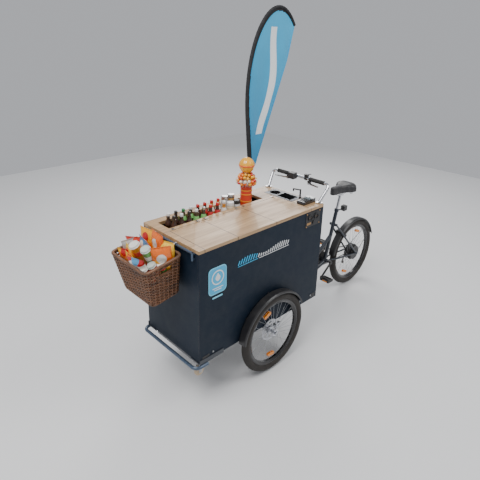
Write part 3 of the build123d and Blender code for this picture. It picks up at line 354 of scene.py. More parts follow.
def film(name, lower, upper, spot, tall):
    """Printed film of one bag: a lower and an upper colour, and a plain round spot."""
    material, tree, shader = start_finish(name)
    where = node(tree, "TexCoord").outputs["Object"]
    parts = node(tree, "SeparateXYZ", Vector=where)
    wave = calc(tree, "MULTIPLY", calc(tree, "SINE", calc(tree, "MULTIPLY", parts.outputs["X"], 52.0)), 0.012)
    split = calc(tree, "GREATER_THAN", calc(tree, "ADD", parts.outputs["Z"], wave), 0.62 * tall)
    tone = mix(tree, split, rgba(lower), rgba(upper))
    rise = calc(tree, "SUBTRACT", parts.outputs["Z"], 0.72 * tall)
    across = calc(tree, "MULTIPLY", parts.outputs["X"], parts.outputs["X"])
    away = calc(tree, "ADD", across, calc(tree, "MULTIPLY", rise, rise))
    tone = mix(tree, calc(tree, "LESS_THAN", away, 0.0009), tone, rgba(spot))
    creases = node(tree, "TexNoise", Vector=where, Scale=34.0, Detail=5.0, Roughness=0.62, Distortion=1.2)
    cloud = use(tree, "cloudy", Colour=tone, Change=0.25, Size=30.0, Rough=0.28, Rough_Change=0.2)
    tree.links.new(cloud.outputs["Colour"], shader.inputs["Base Color"])
    tree.links.new(cloud.outputs["Roughness"], shader.inputs["Roughness"])
    shader.inputs["Metallic"].default_value = 0.12
    shader.inputs["Coat Weight"].default_value = 0.5
    bump(tree, shader, creases.outputs[0], 0.7, 0.004)
    return material


def flag_knit():
    """Blue knitted flag cloth with a plain pale ribbon and fine knit."""
    material, tree, shader = start_finish("flag_knit")
    where = node(tree, "TexCoord").outputs["Object"]
    parts = node(tree, "SeparateXYZ", Vector=where)
    lean = calc(tree, "MULTIPLY", calc(tree, "SUBTRACT", parts.outputs["Z"], 1.9), 0.17)
    curve = calc(tree, "MULTIPLY", calc(tree, "SINE", calc(tree, "MULTIPLY", parts.outputs["Z"], 7.0)), 0.035)
    line = calc(tree, "SUBTRACT", calc(tree, "SUBTRACT", parts.outputs["Y"], lean), curve)
    off = calc(tree, "ABSOLUTE", calc(tree, "SUBTRACT", line, 0.085))
    ribbon = spread(tree, off, 0.034, 0.037, 1.0, 0.0)
    high = calc(tree, "MULTIPLY", calc(tree, "GREATER_THAN", parts.outputs["Z"], 1.62),
                calc(tree, "LESS_THAN", parts.outputs["Z"], 2.43))
    blue = mix(tree, spread(tree, parts.outputs["Z"], 1.3, 2.5, 0.0, 1.0),
               (0.012, 0.25, 0.5, 1), (0.025, 0.4, 0.68, 1))
    tone = mix(tree, calc(tree, "MULTIPLY", ribbon, high), blue, (0.8, 0.84, 0.86, 1))
    threads = node(tree, "TexWave", {"bands_direction": "Z"}, Vector=where, Scale=420.0, Distortion=1.0)
    rows = node(tree, "TexWave", {"bands_direction": "Y"}, Vector=where, Scale=420.0, Distortion=1.0)
    knit = calc(tree, "MULTIPLY", threads.outputs[1], rows.outputs[1])
    cloud = use(tree, "cloudy", Colour=tone, Change=0.2, Size=5.0, Rough=0.75)
    tree.links.new(cloud.outputs["Colour"], shader.inputs["Base Color"])
    tree.links.new(cloud.outputs["Roughness"], shader.inputs["Roughness"])
    shader.inputs["Sheen Weight"].default_value = 0.3
    bump(tree, shader, knit, 0.15, 0.0004)
    return material


STEEL = brushed("zinc_steel", (0.4, 0.41, 0.43), 0.32)
STAINLESS = brushed("stainless", (0.13, 0.135, 0.145), 0.42, (1, 0.04, 1))
SILVER = brushed("silver_alloy", (0.56, 0.57, 0.6), 0.3)
CHROME = solid("chrome", (0.75, 0.75, 0.77), 0.1, 1.0, change=0.1, bumpy=0.02, dusty=0.04, spin=0.1)
BLACK = solid("black_plastic", (0.012, 0.012, 0.014), 0.45, grain=900.0, bumpy=0.2)
GLOSS = solid("gloss_black", (0.008, 0.008, 0.01), 0.16, coat=0.7, bumpy=0.02, dusty=0.07)
SATIN = solid("satin_black", (0.011, 0.011, 0.013), 0.38, coat=0.15, bumpy=0.05, dusty=0.07)
POWDER = solid("black_powder", (0.014, 0.014, 0.016), 0.5, grain=1200.0, bumpy=0.25, worn=(0.3, 0.3, 0.31))
NAVY = navy_board()
FRAME_PAINT = solid("frame_paint", (0.009, 0.016, 0.028), 0.3, 0.2, 0.5, worn=(0.2, 0.2, 0.21), bumpy=0.03)
INNER = solid("inner_board", (0.03, 0.03, 0.034), 0.6, grain=700.0, bumpy=0.1, dusty=0.15)
OAK = oak_laminate()
RAIL_BLUE = solid("rail_blue", (0.05, 0.085, 0.14), 0.28, 0.3, 0.4, worn=(0.3, 0.3, 0.3), bumpy=0.03)
RUBBER = solid("tyre_rubber", (0.013, 0.0095, 0.007), 0.66, change=0.6, size=20.0, bumpy=0.4, dusty=0.1)
GRIP = solid("grip_rubber", (0.012, 0.012, 0.012), 0.65, bumpy=0.3)
WILLOW = willow()
ORANGE = solid("reflector", (0.85, 0.27, 0.01), 0.15, coat=0.8, grain=250.0, bumpy=0.3, dusty=0.0)
LEATHER = solid("saddle_vinyl", (0.022, 0.022, 0.025), 0.42, grain=520.0, bumpy=0.5, size=14.0, dusty=0.12)
CREAM = solid("caster_cream", (0.5, 0.38, 0.25), 0.6, dusty=0.2)
TANK = solid("tank_plastic", (0.7, 0.72, 0.74), 0.4, dusty=0.05)
DRIVE = brushed("oiled_steel", (0.16, 0.15, 0.14), 0.38)
SCREEN = solid("screen_glass", (0.16, 0.19, 0.2), 0.08, coat=1.0, bumpy=0.0, dusty=0.02)
WHITE = solid("white_print", (0.78, 0.79, 0.8), 0.5, bumpy=0.05, dusty=0.05)
SIGN_BLUE = solid("sign_blue", (0.02, 0.42, 0.72), 0.35, coat=0.3, bumpy=0.03, dusty=0.03)
SIGN_PALE = solid("sign_pale", (0.18, 0.62, 0.82), 0.35, coat=0.3, bumpy=0.03, dusty=0.03)

DRESS = {
    NAVY: ["left_panel", "right_panel", "front_panel", "rear_panel"],
    INNER: ["floor_panel", "well_liner", "cross_dividers"],
    OAK: ["worktop", "front_lid", "middle_lid", "rear_lid"],
    STEEL: ["fixed_hinge_leaves", "panel_bolts", "left_brake_lever", "right_brake_lever", "front_axle",
            "caster_fork", "left_front_spokes", "right_front_spokes", "rear_spokes"],
    STAINLESS: ["sink_basin"],
    SILVER: ["front_calipers", "left_front_hub", "right_front_hub"],
    CHROME: ["handlebar", "seat_post"],
    BLACK: ["power_panel", "bar_controls", "left_pedal", "right_pedal", "tap_spout"],
    GLOSS: ["card_terminal"],
    SATIN: ["front_fenders", "rear_fender", "lock_and_lamp", "rear_hub"],
    POWDER: ["flag_bracket", "flag_pole", "crankset"],
    FRAME_PAINT: ["chassis_frame", "rear_frame"],
    RAIL_BLUE: ["front_rail", "bumper"],
    CREAM: ["caster_wheel"],
    TANK: ["battery_and_tanks"],
    DRIVE: ["rear_cog", "drive_chain"],
}
RIM = solid("rim_black", (0.012, 0.012, 0.014), 0.22, 0.4, 0.4, worn=(0.5, 0.5, 0.52), bumpy=0.03)
DRESS[RIM] = ["left_front_rim", "right_front_rim", "rear_rim"]


def dress_frame():
    """Every CAD piece that stays in sight takes its own finish."""
    for material, names in DRESS.items():
        for name in names:
            nodes[name].data.materials.clear()
            nodes[name].data.materials.append(material)


# ======================= shapes =======================
class Shape:
    """The points and faces of one piece, with a finish for each face."""

    def __init__(self):
        self.points = []
        self.faces = []
        self.face_finish = []
        self.finishes = []

    def add(self, mesh, finish, place=None):
        """Join points and faces on in one finish, moved by a matrix where there is one."""
        points, faces = mesh
        first = len(self.points)
        for point in points:
            self.points.append(place @ Vector(point) if place else Vector(point))
        self.faces += [[first + corner for corner in face] for face in faces]
        if finish not in self.finishes:
            self.finishes.append(finish)
        self.face_finish += [self.finishes.index(finish)] * len(faces)

    def make(self, name, body, stands_for=(), origin=None, sharp=38):
        """The piece itself: it rides its body, and may have CAD pieces it stands for."""
        mesh = bpy.data.meshes.new(name)
        shift = Vector(origin) if origin else Vector((0, 0, 0))
        mesh.from_pydata([point - shift for point in self.points], [], self.faces)
        for finish in self.finishes:
            mesh.materials.append(finish)
        mesh.polygons.foreach_set("material_index", self.face_finish)
        mesh.polygons.foreach_set("use_smooth", [True] * len(self.faces))
        mesh.update()
        mesh.validate()
        mesh.set_sharp_from_angle(angle=math.radians(sharp))
        piece = bpy.data.objects.new(name, mesh)
        piece.location = shift
        bpy.context.scene.collection.objects.link(piece)
        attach(piece, body)
        if stands_for:
            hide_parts(*stands_for)
        return piece


def lattice(rows, columns, round_rows=False, round_columns=False):
    """Faces of a net of points held row by row."""
    faces = []
    for row in range(rows if round_rows else rows - 1):
        for column in range(columns if round_columns else columns - 1):
            next_row = (row + 1) % rows
            next_column = (column + 1) % columns
            faces.append([row * columns + column, row * columns + next_column,
                          next_row * columns + next_column, next_row * columns + column])
    return faces


def closed_skin(rows, columns):
    """Faces of a net that is round along its rows, with a face over each end."""
    faces = lattice(rows, columns, False, True)
    faces.append(list(range(columns))[::-1])
    faces.append(list(range((rows - 1) * columns, rows * columns)))
    return faces


def lathe(profile, steps=28):
    """A turned shape about local Z, from (radius, height) pairs, closed at both ends."""
    points = []
    for radius, height in profile:
        for step in range(steps):
            turn = 2 * math.pi * step / steps
            points.append((radius * math.cos(turn), radius * math.sin(turn), height))
    return points, closed_skin(len(profile), steps)


def tube(path, radius, sides=8, closed=False, upright=None, flat=1.0):
    """A round or flattened tube along a path; upright keeps its section from turning."""
    path = [Vector(point) for point in path]
    count = len(path)
    points = []
    up = Vector(upright) if upright else None
    for place, point in enumerate(path):
        before = path[place - 1] if closed or place else point
        after = path[(place + 1) % count] if closed or place < count - 1 else point
        along = (after - before).normalized()
        if up is None:
            up = Vector((0, 0, 1)) if abs(along.z) < 0.9 else Vector((1, 0, 0))
        side = along.cross(up).normalized()
        if upright is None:
            up = side.cross(along).normalized()
        for step in range(sides):
            turn = 2 * math.pi * step / sides
            points.append(point + radius * (math.cos(turn) * side + flat * math.sin(turn) * up))
    return points, lattice(count, sides, True, True) if closed else closed_skin(count, sides)


def rounded_outline(wide, tall, corner, steps=5):
    """A rectangle with round corners, about the middle."""
    outline = []
    for quarter, (x, y) in enumerate(((1, 1), (-1, 1), (-1, -1), (1, -1))):
        for step in range(steps + 1):
            turn = math.pi / 2 * (quarter + step / steps)
            outline.append((x * (wide / 2 - corner) + corner * math.cos(turn),
                            y * (tall / 2 - corner) + corner * math.sin(turn)))
    return outline


def plate(wide, tall, thick, corner, soft=0.0006):
    """A flat plate in local XY with round corners and softened edges, from 0 up to thick."""
    soft = min(soft, thick / 3)
    points = []
    for inset, height in ((soft, 0), (0, soft), (0, thick - soft), (soft, thick)):
        for x, y in rounded_outline(wide - 2 * inset, tall - 2 * inset, max(corner - inset, 0.0002)):
            points.append((x, y, height))
    return points, closed_skin(4, len(points) // 4)


def facing(place, out, up=(0, 0, 1)):
    """A matrix that sets local Z along out and local Y as near as can be to up."""
    out = Vector(out).normalized()
    across = Vector(up).cross(out).normalized()
    return Matrix.Translation(place) @ Matrix((across, out.cross(across), out)).transposed().to_4x4()


place_camera()
light_studio()
dress_frame()


# ======================= wicker basket =======================
BASKET_AT = Vector((-0.022, FRONT - 0.03, TOP - 0.05))
LEAN = math.radians(9)
LEANING = Matrix(((1, 0, 0), (0, math.cos(LEAN), -math.sin(LEAN)), (0, math.sin(LEAN), math.cos(LEAN))))
BASKET = Matrix.Translation(BASKET_AT) @ LEANING.to_4x4()
DEEP = 0.27
BASKET_FLOOR = -DEEP + 0.0095
# Outside width and length at the rim, and what each loses down to the floor.
RIM_WIDE, WIDE_TAPER = 0.397, 0.064
RIM_LONG, LONG_TAPER = 0.272, 0.0628
# Each hand hole: its middle along the side, half its length, and its top and foot below the rim.
HOLE_MIDDLE, HOLE_HALF, HOLE_TOP, HOLE_FOOT = -0.137, 0.046, 0.03, 0.066
STAKES = 34
# Points of a woven rod from one stake to the next.
ROD_STEPS = 8


def basket_ring(down, inset, count):
    """Evenly spaced points round the basket's tapered side, down below the rim."""
    share = down / DEEP
    wide = RIM_WIDE - WIDE_TAPER * share - 2 * inset
    long = RIM_LONG - LONG_TAPER * share - 2 * inset
    middle = -0.136 - 0.0114 * share
    outline = [Vector((x, y + middle, -down)) for x, y in rounded_outline(wide, long, 0.03, 6)]
    lengths = [0.0]
    for place in range(len(outline)):
        lengths.append(lengths[-1] + (outline[(place + 1) % len(outline)] - outline[place]).length)
    ring = []
    edge = 0
    for step in range(count):
        at = lengths[-1] * step / count
        while lengths[edge + 1] < at:
            edge += 1
        share_on = (at - lengths[edge]) / (lengths[edge + 1] - lengths[edge])
        ring.append(outline[edge].lerp(outline[(edge + 1) % len(outline)], share_on))
    return ring


def outward(ring, place):
    """The level direction out of the ring at one of its points."""
    along = ring[(place + 1) % len(ring)] - ring[place - 1]
    return along.cross(Vector((0, 0, 1))).normalized()


def in_hand_hole(point, down, grow=0.0):
    """Whether a point of the wall, down below the rim, is in one of the two hand holes."""
    along = abs(point.y - HOLE_MIDDLE) < HOLE_HALF + grow
    return along and HOLE_TOP - grow < down < HOLE_FOOT + grow and abs(point.x) > 0.17


def weave_sides(shape):
    """Level rods, before one stake and behind the next, cut short at the hand holes."""
    rod, rise, swing = 0.0044, 0.0106, 0.0046
    count = STAKES * ROD_STEPS
    row = 0
    down = 0.012
    while down < DEEP - 0.006:
        ring = basket_ring(down, 0.0055, count)
        runs = [[]]
        for place, point in enumerate(ring):
            wave = math.cos(math.pi * (place / ROD_STEPS + row)) * swing
            spot = point + outward(ring, place) * wave
            spot.z += 0.0006 * math.sin(place * 0.37 + row * 1.7)
            if not in_hand_hole(point, down):
                runs[-1].append(spot)
            elif runs[-1]:
                runs.append([])
        runs = [run for run in runs if len(run) > 2]
        if len(runs) > 1:
            runs[0] = runs.pop() + runs[0]
        for run in runs:
            shape.add(tube(run, rod, 8, len(run) == count, (0, 0, 1)), WILLOW, BASKET)
        down += rise
        row += 1


def set_stakes(shape):
    """Upright stakes from the floor to the rim, broken where a hand hole is."""
    thick, steps = 0.005, 18
    foot = basket_ring(DEEP - 0.006, 0.0036, STAKES)
    head = basket_ring(0.004, 0.0036, STAKES)
    for low, high in zip(foot, head):
        stake = []
        for step in range(steps + 1):
            spot = low.lerp(high, step / steps)
            if in_hand_hole(spot, -spot.z, -0.002):
                if len(stake) > 1:
                    shape.add(tube(stake, thick, 8), WILLOW, BASKET)
                stake = []
            else:
                stake.append(spot)
        shape.add(tube(stake, thick, 8), WILLOW, BASKET)


def weave_basket():
    """The whole basket: sides, stakes, two borders, floor, bound hand holes and the hooks it hangs by."""
    shape = Shape()
    weave_sides(shape)
    set_stakes(shape)
    plait_rim(shape, 0.0045, 0.0062, 44, 4)
    plait_rim(shape, DEEP - 0.006, 0.0038, 40, 3)
    floor_weave(shape)
    hand_grips(shape)
    rail_hooks(shape)
    shape.make("wicker_basket", "basket", ["basket"], sharp=60)


def plait_rim(shape, down, size, twists, strands):
    """A border of strands that wind round each other along the rim or foot."""
    count = 420
    ring = basket_ring(down, 0.0052, count)
    for strand in range(strands):
        path = []
        for place, point in enumerate(ring):
            turn = 2 * math.pi * (twists * place / count + strand / strands)
            path.append(point + outward(ring, place) * size * math.cos(turn)
                        + Vector((0, 0, size * 0.8 * math.sin(turn))))
        shape.add(tube(path, size * 0.72, 6, True), WILLOW, BASKET)


def floor_weave(shape):
    """Rods across the floor, over and under rods along it."""
    low = -DEEP + 0.006
    apart = 0.0158
    for number in range(23):
        y = -0.245 + number * 0.0088
        path = [(-0.158 + step * apart, y, low + 0.0022 * math.cos(math.pi * (step + number)))
                for step in range(21)]
        shape.add(tube(path, 0.0034, 6), WILLOW, BASKET)
    for number in range(20):
        x = -0.15 + number * apart
        shape.add(tube([(x, -0.248, low), (x, -0.048, low)], 0.0025, 6), WILLOW, BASKET)


def hand_grips(shape):
    """Over and under each hand hole, the rods are bound with a cane."""
    winds, steps, reach = 15, 8, 0.0062
    for side in (-1, 1):
        for down in (0.0235, 0.07):
            x = side * (RIM_WIDE / 2 - 0.0055 - WIDE_TAPER / 2 * down / DEEP)
            path = []
            for step in range(winds * steps):
                turn = 2 * math.pi * step / steps
                path.append((x + reach * math.cos(turn), HOLE_MIDDLE - 0.05 + 0.1 * step / (winds * steps),
                             -down + reach * math.sin(turn)))
            shape.add(tube(path, 0.0026, 5), WILLOW, BASKET)


def rail_hooks(shape):
    """Two steel straps from the basket's back, over the rail in front of the box."""
    back = FRONT - 0.035
    rail = FRONT - 0.015
    top = TOP - 0.006
    for side in (-1, 1):
        hook_x = BASKET_AT.x + side * 0.11
        path = [(hook_x, back, BASKET_AT.z - 0.03), (hook_x, back, top - 0.006)]
        for step in range(9):
            turn = math.pi - math.pi * step / 8
            y = rail - 0.004 + 0.0145 * math.cos(turn) * 1.05
            path.append((hook_x, y, top - 0.009 + 0.0075 * math.sin(turn)))
        shape.add(tube(path, 0.0016, 8, False, (1, 0, 0), 4.5), STEEL)


# ======================= goods in the basket =======================
def bag_skins(wide, thick, tall, seed, columns, rows):
    """The front and back points of a filled pillow bag, creased inward from the seals at both ends."""
    seal = 0.011
    front, back = [], []
    for row in range(rows):
        z = tall * row / (rows - 1)
        end = min(z, tall - z)
        fill = max(0.0, min(1.0, (end - seal) / (0.28 * tall)))
        fill = math.sin(fill * math.pi / 2) ** 0.75
        ridge = 0.0006 * math.sin(row * 3.1) if end < seal else 0.0
        for column in range(columns):
            u = -1 + 2 * column / (columns - 1)
            round_off = max(0.0, 1 - abs(u) ** 2.6) ** 0.55
            ripple = noise.noise(Vector((u * 3.2 + seed, z * 26, seed * 3)))
            creases = 0.2 * (1 - fill) * math.sin(u * 17 + seed) + 0.12 * ripple
            swell = 0.5 * thick * 0.93 * round_off * fill * (1 + creases)
            half = wide / 2 * (1 - 0.1 * fill * (0.6 + 0.4 * noise.noise(Vector((seed, z * 18, u)))))
            crimp = 0.0012 * (1 if column % 2 else -1) if row == rows - 1 else 0.0
            front.append((half * u, swell + 0.0004 + ridge, z - crimp))
            back.append((half * u, -swell - 0.0004 + ridge, z - crimp))
    return front, back


def bag_mesh(wide, thick, tall, seed):
    """A filled pillow bag on its foot: two skins, joined down both sides and along both seals."""
    columns, rows = 30, 54
    front, back = bag_skins(wide, thick, tall, seed, columns, rows)
    count = rows * columns
    faces = [face[::-1] for face in lattice(rows, columns)]
    faces += [[count + corner for corner in face[::-1]] for face in faces]
    for row in range(rows - 1):
        for column in (0, columns - 1):
            low = row * columns + column
            high = low + columns
            if column:
                faces.append([low, high, count + high, count + low])
            else:
                faces.append([high, low, count + low, count + high])
    for column in range(columns - 1):
        top = (rows - 1) * columns + column
        faces.append([top, top + 1, count + top + 1, count + top])
        faces.append([column + 1, column, count + column, count + column + 1])
    return front + back, faces


RED = (0.55, 0.012, 0.012)
ORANGE_INK = (0.85, 0.16, 0.01)
GOLD = (0.9, 0.42, 0.015)
PALE = (0.78, 0.76, 0.7)
FOIL = (0.5, 0.51, 0.52)
BAG_LOOKS = {
    "orange": film("film_orange", ORANGE_INK, GOLD, RED, 0.21),
    "fire": film("film_fire", GOLD, ORANGE_INK, PALE, 0.2),
    "gold": film("film_gold", GOLD, (0.9, 0.6, 0.05), ORANGE_INK, 0.19),
    "red": film("film_red", RED, (0.65, 0.04, 0.02), GOLD, 0.2),
    "silver": film("film_silver", PALE, FOIL, RED, 0.2),
    "white": film("film_white", PALE, RED, (0.1, 0.35, 0.6), 0.2),
    "blue": film("film_blue", GOLD, (0.04, 0.2, 0.45), PALE, 0.2),
}
# Each bag: finish, place in the basket (x, y, foot height over the floor), width, thickness, height,
# turn and lean.
HEAP = [
    ("orange", -0.10, -0.060, 0.150, 0.140, 0.054, 0.205, 0.1, 0.12),
    ("fire", 0.005, -0.055, 0.150, 0.140, 0.056, 0.212, -0.1, 0.1),
    ("gold", 0.100, -0.060, 0.130, 0.120, 0.052, 0.200, 0.25, 0.15),
    ("blue", -0.045, -0.100, 0.150, 0.120, 0.050, 0.190, -0.2, -0.05),
    ("red", -0.130, -0.110, 0.130, 0.125, 0.052, 0.200, 0.5, -0.1),
    ("silver", 0.060, -0.115, 0.130, 0.125, 0.052, 0.190, 0.2, -0.12),
    ("fire", 0.130, -0.100, 0.135, 0.130, 0.056, 0.215, 0.9, -0.1),
    ("silver", -0.150, -0.150, 0.125, 0.105, 0.046, 0.200, 1.25, -0.1),
    ("gold", -0.085, -0.165, 0.130, 0.120, 0.050, 0.185, -0.2, -0.15),
    ("orange", -0.112, -0.195, 0.125, 0.125, 0.050, 0.165, 0.3, -0.12),
    ("gold", -0.035, -0.205, 0.130, 0.120, 0.046, 0.155, -0.1, -0.12),
    ("white", 0.052, -0.212, 0.150, 0.130, 0.046, 0.155, 0.3, -0.2),
    ("red", -0.090, -0.100, 0.0, 0.135, 0.060, 0.190, 0.1, 0.0),
    ("silver", 0.060, -0.095, 0.0, 0.135, 0.060, 0.190, -0.2, 0.0),
    ("gold", -0.070, -0.190, 0.0, 0.135, 0.060, 0.190, 0.1, 0.0),
    ("red", 0.080, -0.190, 0.0, 0.120, 0.055, 0.170, 0.3, 0.0),
]


def fill_basket():
    """A heap of bags, the low ones standing on the floor and the high ones fanned out over the rim."""
    for number, (look, x, y, lift, wide, thick, tall, turn, lean) in enumerate(HEAP):
        shape = Shape()
        shape.add(bag_mesh(wide, thick, tall, number * 2.3), BAG_LOOKS[look])
        bag = shape.make(f"snack_bag_{number}", "basket", () if number else ["snack_packs"])
        bag.matrix_world = (BASKET @ Matrix.Translation((x, y, BASKET_FLOOR + lift))
                            @ Matrix.Rotation(turn, 4, "Z") @ Matrix.Rotation(-lean, 4, "X"))
    cups()


def scaled(big, profile):
    """A profile whose radii are given as shares of big."""
    return [(big * share, height) for share, height in profile]


# Each cup: place in the basket (x, y, foot height over the floor), radius, height, body and lid.
CUPS = [
    (-0.015, -0.150, 0.200, 0.034, 0.155, "paper", "lid"),
    (0.072, -0.135, 0.200, 0.032, 0.155, "green", "clear"),
    (0.110, -0.205, 0.165, 0.028, 0.080, "pot", "lid"),
    (0.130, -0.160, 0.175, 0.028, 0.085, "pot", "clear"),
    (0.148, -0.115, 0.175, 0.026, 0.075, "green", "lid"),
]


def cups():
    """Two tall lidded cups among the bags, and three small pots by the rim."""
    inks = {"paper": (0.8, 0.3, 0.03), "green": (0.12, 0.42, 0.08), "pot": (0.6, 0.04, 0.03), "lid": PALE}
    paint = {name: solid(f"cup_{name}", ink, 0.4, coat=0.3, bumpy=0.1) for name, ink in inks.items()}
    paint["clear"] = solid("cup_clear", (0.55, 0.62, 0.56), 0.15, coat=0.6, bumpy=0.05)
    for number, (x, y, lift, big, tall, body, lid) in enumerate(CUPS):
        cup = [(0.7, 0), (0.73, 0.002), (0.78, tall * 0.3), (0.8, tall * 0.31), (0.92, tall - 0.016),
               (0.94, tall - 0.014)]
        cap = [(0.92, tall - 0.0155), (1.03, tall - 0.0145), (1.03, tall - 0.0115), (0.96, tall - 0.0105),
               (0.93, tall - 0.003), (0.9, tall), (0.84, tall), (0.8, tall - 0.0035), (0.3, tall - 0.0035)]
        band = [(0.82, tall * 0.45), (0.885, tall * 0.455), (0.895, tall * 0.66), (0.86, tall * 0.665)]
        shape = Shape()
        shape.add(lathe(scaled(big, cup)), paint[body])
        shape.add(lathe(scaled(big, band)), paint["lid" if number % 2 else "pot"])
        shape.add(lathe(scaled(big, cap)), paint[lid])
        piece = shape.make(f"cup_{number}", "basket")
        piece.matrix_world = (BASKET @ Matrix.Translation((x, y, BASKET_FLOOR + lift))
                              @ Matrix.Rotation(0.28, 4, "X")
                              @ Matrix.Rotation(0.1 * math.sin(number * 2), 4, "Y"))


# ======================= drinks =======================
def drink_finish(name, body, label, band):
    """A bottle's own colour, with a printed band round its middle."""
    material, tree, shader = start_finish(f"drink_{name}")
    where = node(tree, "TexCoord").outputs["Object"]
    parts = node(tree, "SeparateXYZ", Vector=where)
    z = parts.outputs["Z"]
    on_body = calc(tree, "MULTIPLY", calc(tree, "GREATER_THAN", z, 0.052), calc(tree, "LESS_THAN", z, 0.128))
    on_neck = calc(tree, "MULTIPLY", calc(tree, "GREATER_THAN", z, 0.176), calc(tree, "LESS_THAN", z, 0.206))
    on_label = calc(tree, "MAXIMUM", on_body, on_neck)
    turn = calc(tree, "ARCTAN2", parts.outputs["Y"], parts.outputs["X"])
    wave = calc(tree, "MULTIPLY", calc(tree, "SINE", calc(tree, "MULTIPLY", turn, 3.0)), 0.009)
    middle = calc(tree, "ABSOLUTE", calc(tree, "SUBTRACT", calc(tree, "ADD", z, wave), 0.09))
    printed = mix(tree, calc(tree, "LESS_THAN", middle, 0.013), rgba(label), rgba(band))
    cloud = use(tree, "cloudy", Colour=mix(tree, on_label, rgba(body), printed), Change=0.2, Size=30.0,
                Rough=spread(tree, on_label, 0, 1, 0.06, 0.4), Rough_Change=0.05)
    tree.links.new(cloud.outputs["Colour"], shader.inputs["Base Color"])
    tree.links.new(cloud.outputs["Roughness"], shader.inputs["Roughness"])
    shader.inputs["Coat Weight"].default_value = 0.6
    return material


def bottle_profile(big, neck):
    """A drinks bottle up to its neck, with a waisted grip, a label seat and a neck ring."""
    body = [(0.7, 0), (0.93, 0.002), (1, 0.009), (1, 0.03), (0.93, 0.04), (1, 0.05), (1, 0.0515),
            (0.985, 0.052), (0.985, 0.128), (1, 0.1285), (1, 0.145), (0.97, 0.16), (0.85, 0.178),
            (0.66, 0.196)]
    top = [(1.12, 0.213), (1, 0.222), (1, 0.226), (1.25, 0.2275), (1.25, 0.23), (1, 0.2315), (1, 0.236)]
    return scaled(big, body) + scaled(neck, top)


def jar_profile(big, tall):
    """A straight jar with a wide neck."""
    top = tall - 0.03
    return scaled(big, [(0.8, 0), (0.96, 0.002), (1, 0.009), (1, 0.049), (0.985, 0.052), (0.985, 0.128),
                        (1, 0.131), (1, top - 0.02), (0.96, top - 0.008), (0.88, top - 0.002),
                        (0.86, top + 0.004)])


def cap_mesh(radius, low, high, ribs=24):
    """A screw cap with ribs down its side and a softened top."""
    points = []
    heights = [(low, 1.0), (low + 0.0015, 1.02), (high - 0.003, 1.0), (high - 0.0008, 0.96), (high, 0.86)]
    for height, share in heights:
        for step in range(ribs * 2):
            turn = 2 * math.pi * step / (ribs * 2)
            rib = radius * share * (1.0 if step % 2 or share < 0.97 else 0.955)
            points.append((rib * math.cos(turn), rib * math.sin(turn), height))
    return points, closed_skin(len(heights), ribs * 2)


def stock_well():
    """Two rows in the open well, from front to back: eight bottles each, then two wide-necked jars."""
    caps = {
        "black": solid("cap_black", (0.02, 0.02, 0.02), 0.35),
        "white": solid("cap_white", (0.75, 0.75, 0.74), 0.35),
        "red": solid("cap_red", (0.55, 0.02, 0.02), 0.3),
        "green": solid("cap_green", (0.04, 0.22, 0.08), 0.35),
        "silver": brushed("cap_silver", (0.6, 0.6, 0.6), 0.3),
    }
    cola = drink_finish("cola", (0.025, 0.009, 0.004), (0.04, 0.012, 0.006), (0.35, 0.2, 0.1))
    lime = drink_finish("lime", (0.05, 0.03, 0.012), (0.2, 0.5, 0.14), (0.75, 0.78, 0.6))
    red = drink_finish("red", (0.05, 0.014, 0.006), (0.5, 0.015, 0.015), (0.8, 0.78, 0.74))
    amber = drink_finish("amber", (0.5, 0.2, 0.015), (0.78, 0.76, 0.7), (0.75, 0.28, 0.03))
    peach = drink_finish("peach", (0.5, 0.27, 0.08), (0.72, 0.6, 0.42), (0.5, 0.12, 0.03))
    silver = drink_finish("silver", (0.42, 0.42, 0.42), (0.6, 0.6, 0.6), (0.12, 0.14, 0.2))
    by_lids = [(cola, "black"), (cola, "white"), (cola, "black"), (lime, "white"), (lime, "silver"),
               (red, "red"), (red, "red"), (amber, "white"), (peach, "white"), (silver, "black")]
    by_panel = [(cola, "white"), (cola, "black"), (lime, "green"), (lime, "white"), (cola, "red"),
                (red, "red"), (amber, "red"), (amber, "red"), (silver, "silver"), (peach, "silver")]
    for place in range(10):
        for row, (x, stock) in enumerate(((-0.13, by_lids), (-0.195, by_panel))):
            finish, cap = stock[place]
            shape = Shape()
            if place < 8:
                shape.add(lathe(bottle_profile(0.0279, 0.0115)), finish)
                shape.add(cap_mesh(0.0122, 0.2375, 0.2548), caps[cap])
            else:
                tall = 0.262 if row else 0.232
                shape.add(lathe(jar_profile(0.0288, tall)), finish)
                shape.add(cap_mesh(0.0268, tall - 0.026, tall - 0.0002, 34), caps[cap])
            spot = Vector((x, FRONT + 0.132 + 0.064 * place, SHELF))
            piece = shape.make(f"drink_{place}_{row}", "box",
                               ["drink_containers"] if not place else ())
            piece.matrix_world = Matrix.Translation(spot) @ Matrix.Rotation(chance.uniform(0, 6.28), 4, "Z")


# ======================= sweet stand =======================
def ball(radius, steps=14):
    """A round sweet, from pole to pole."""
    profile = []
    for step in range(steps + 1):
        tilt = math.pi * step / steps
        profile.append((max(radius * math.sin(tilt), radius * 0.02), -radius * math.cos(tilt)))
    return lathe(profile, steps * 2)


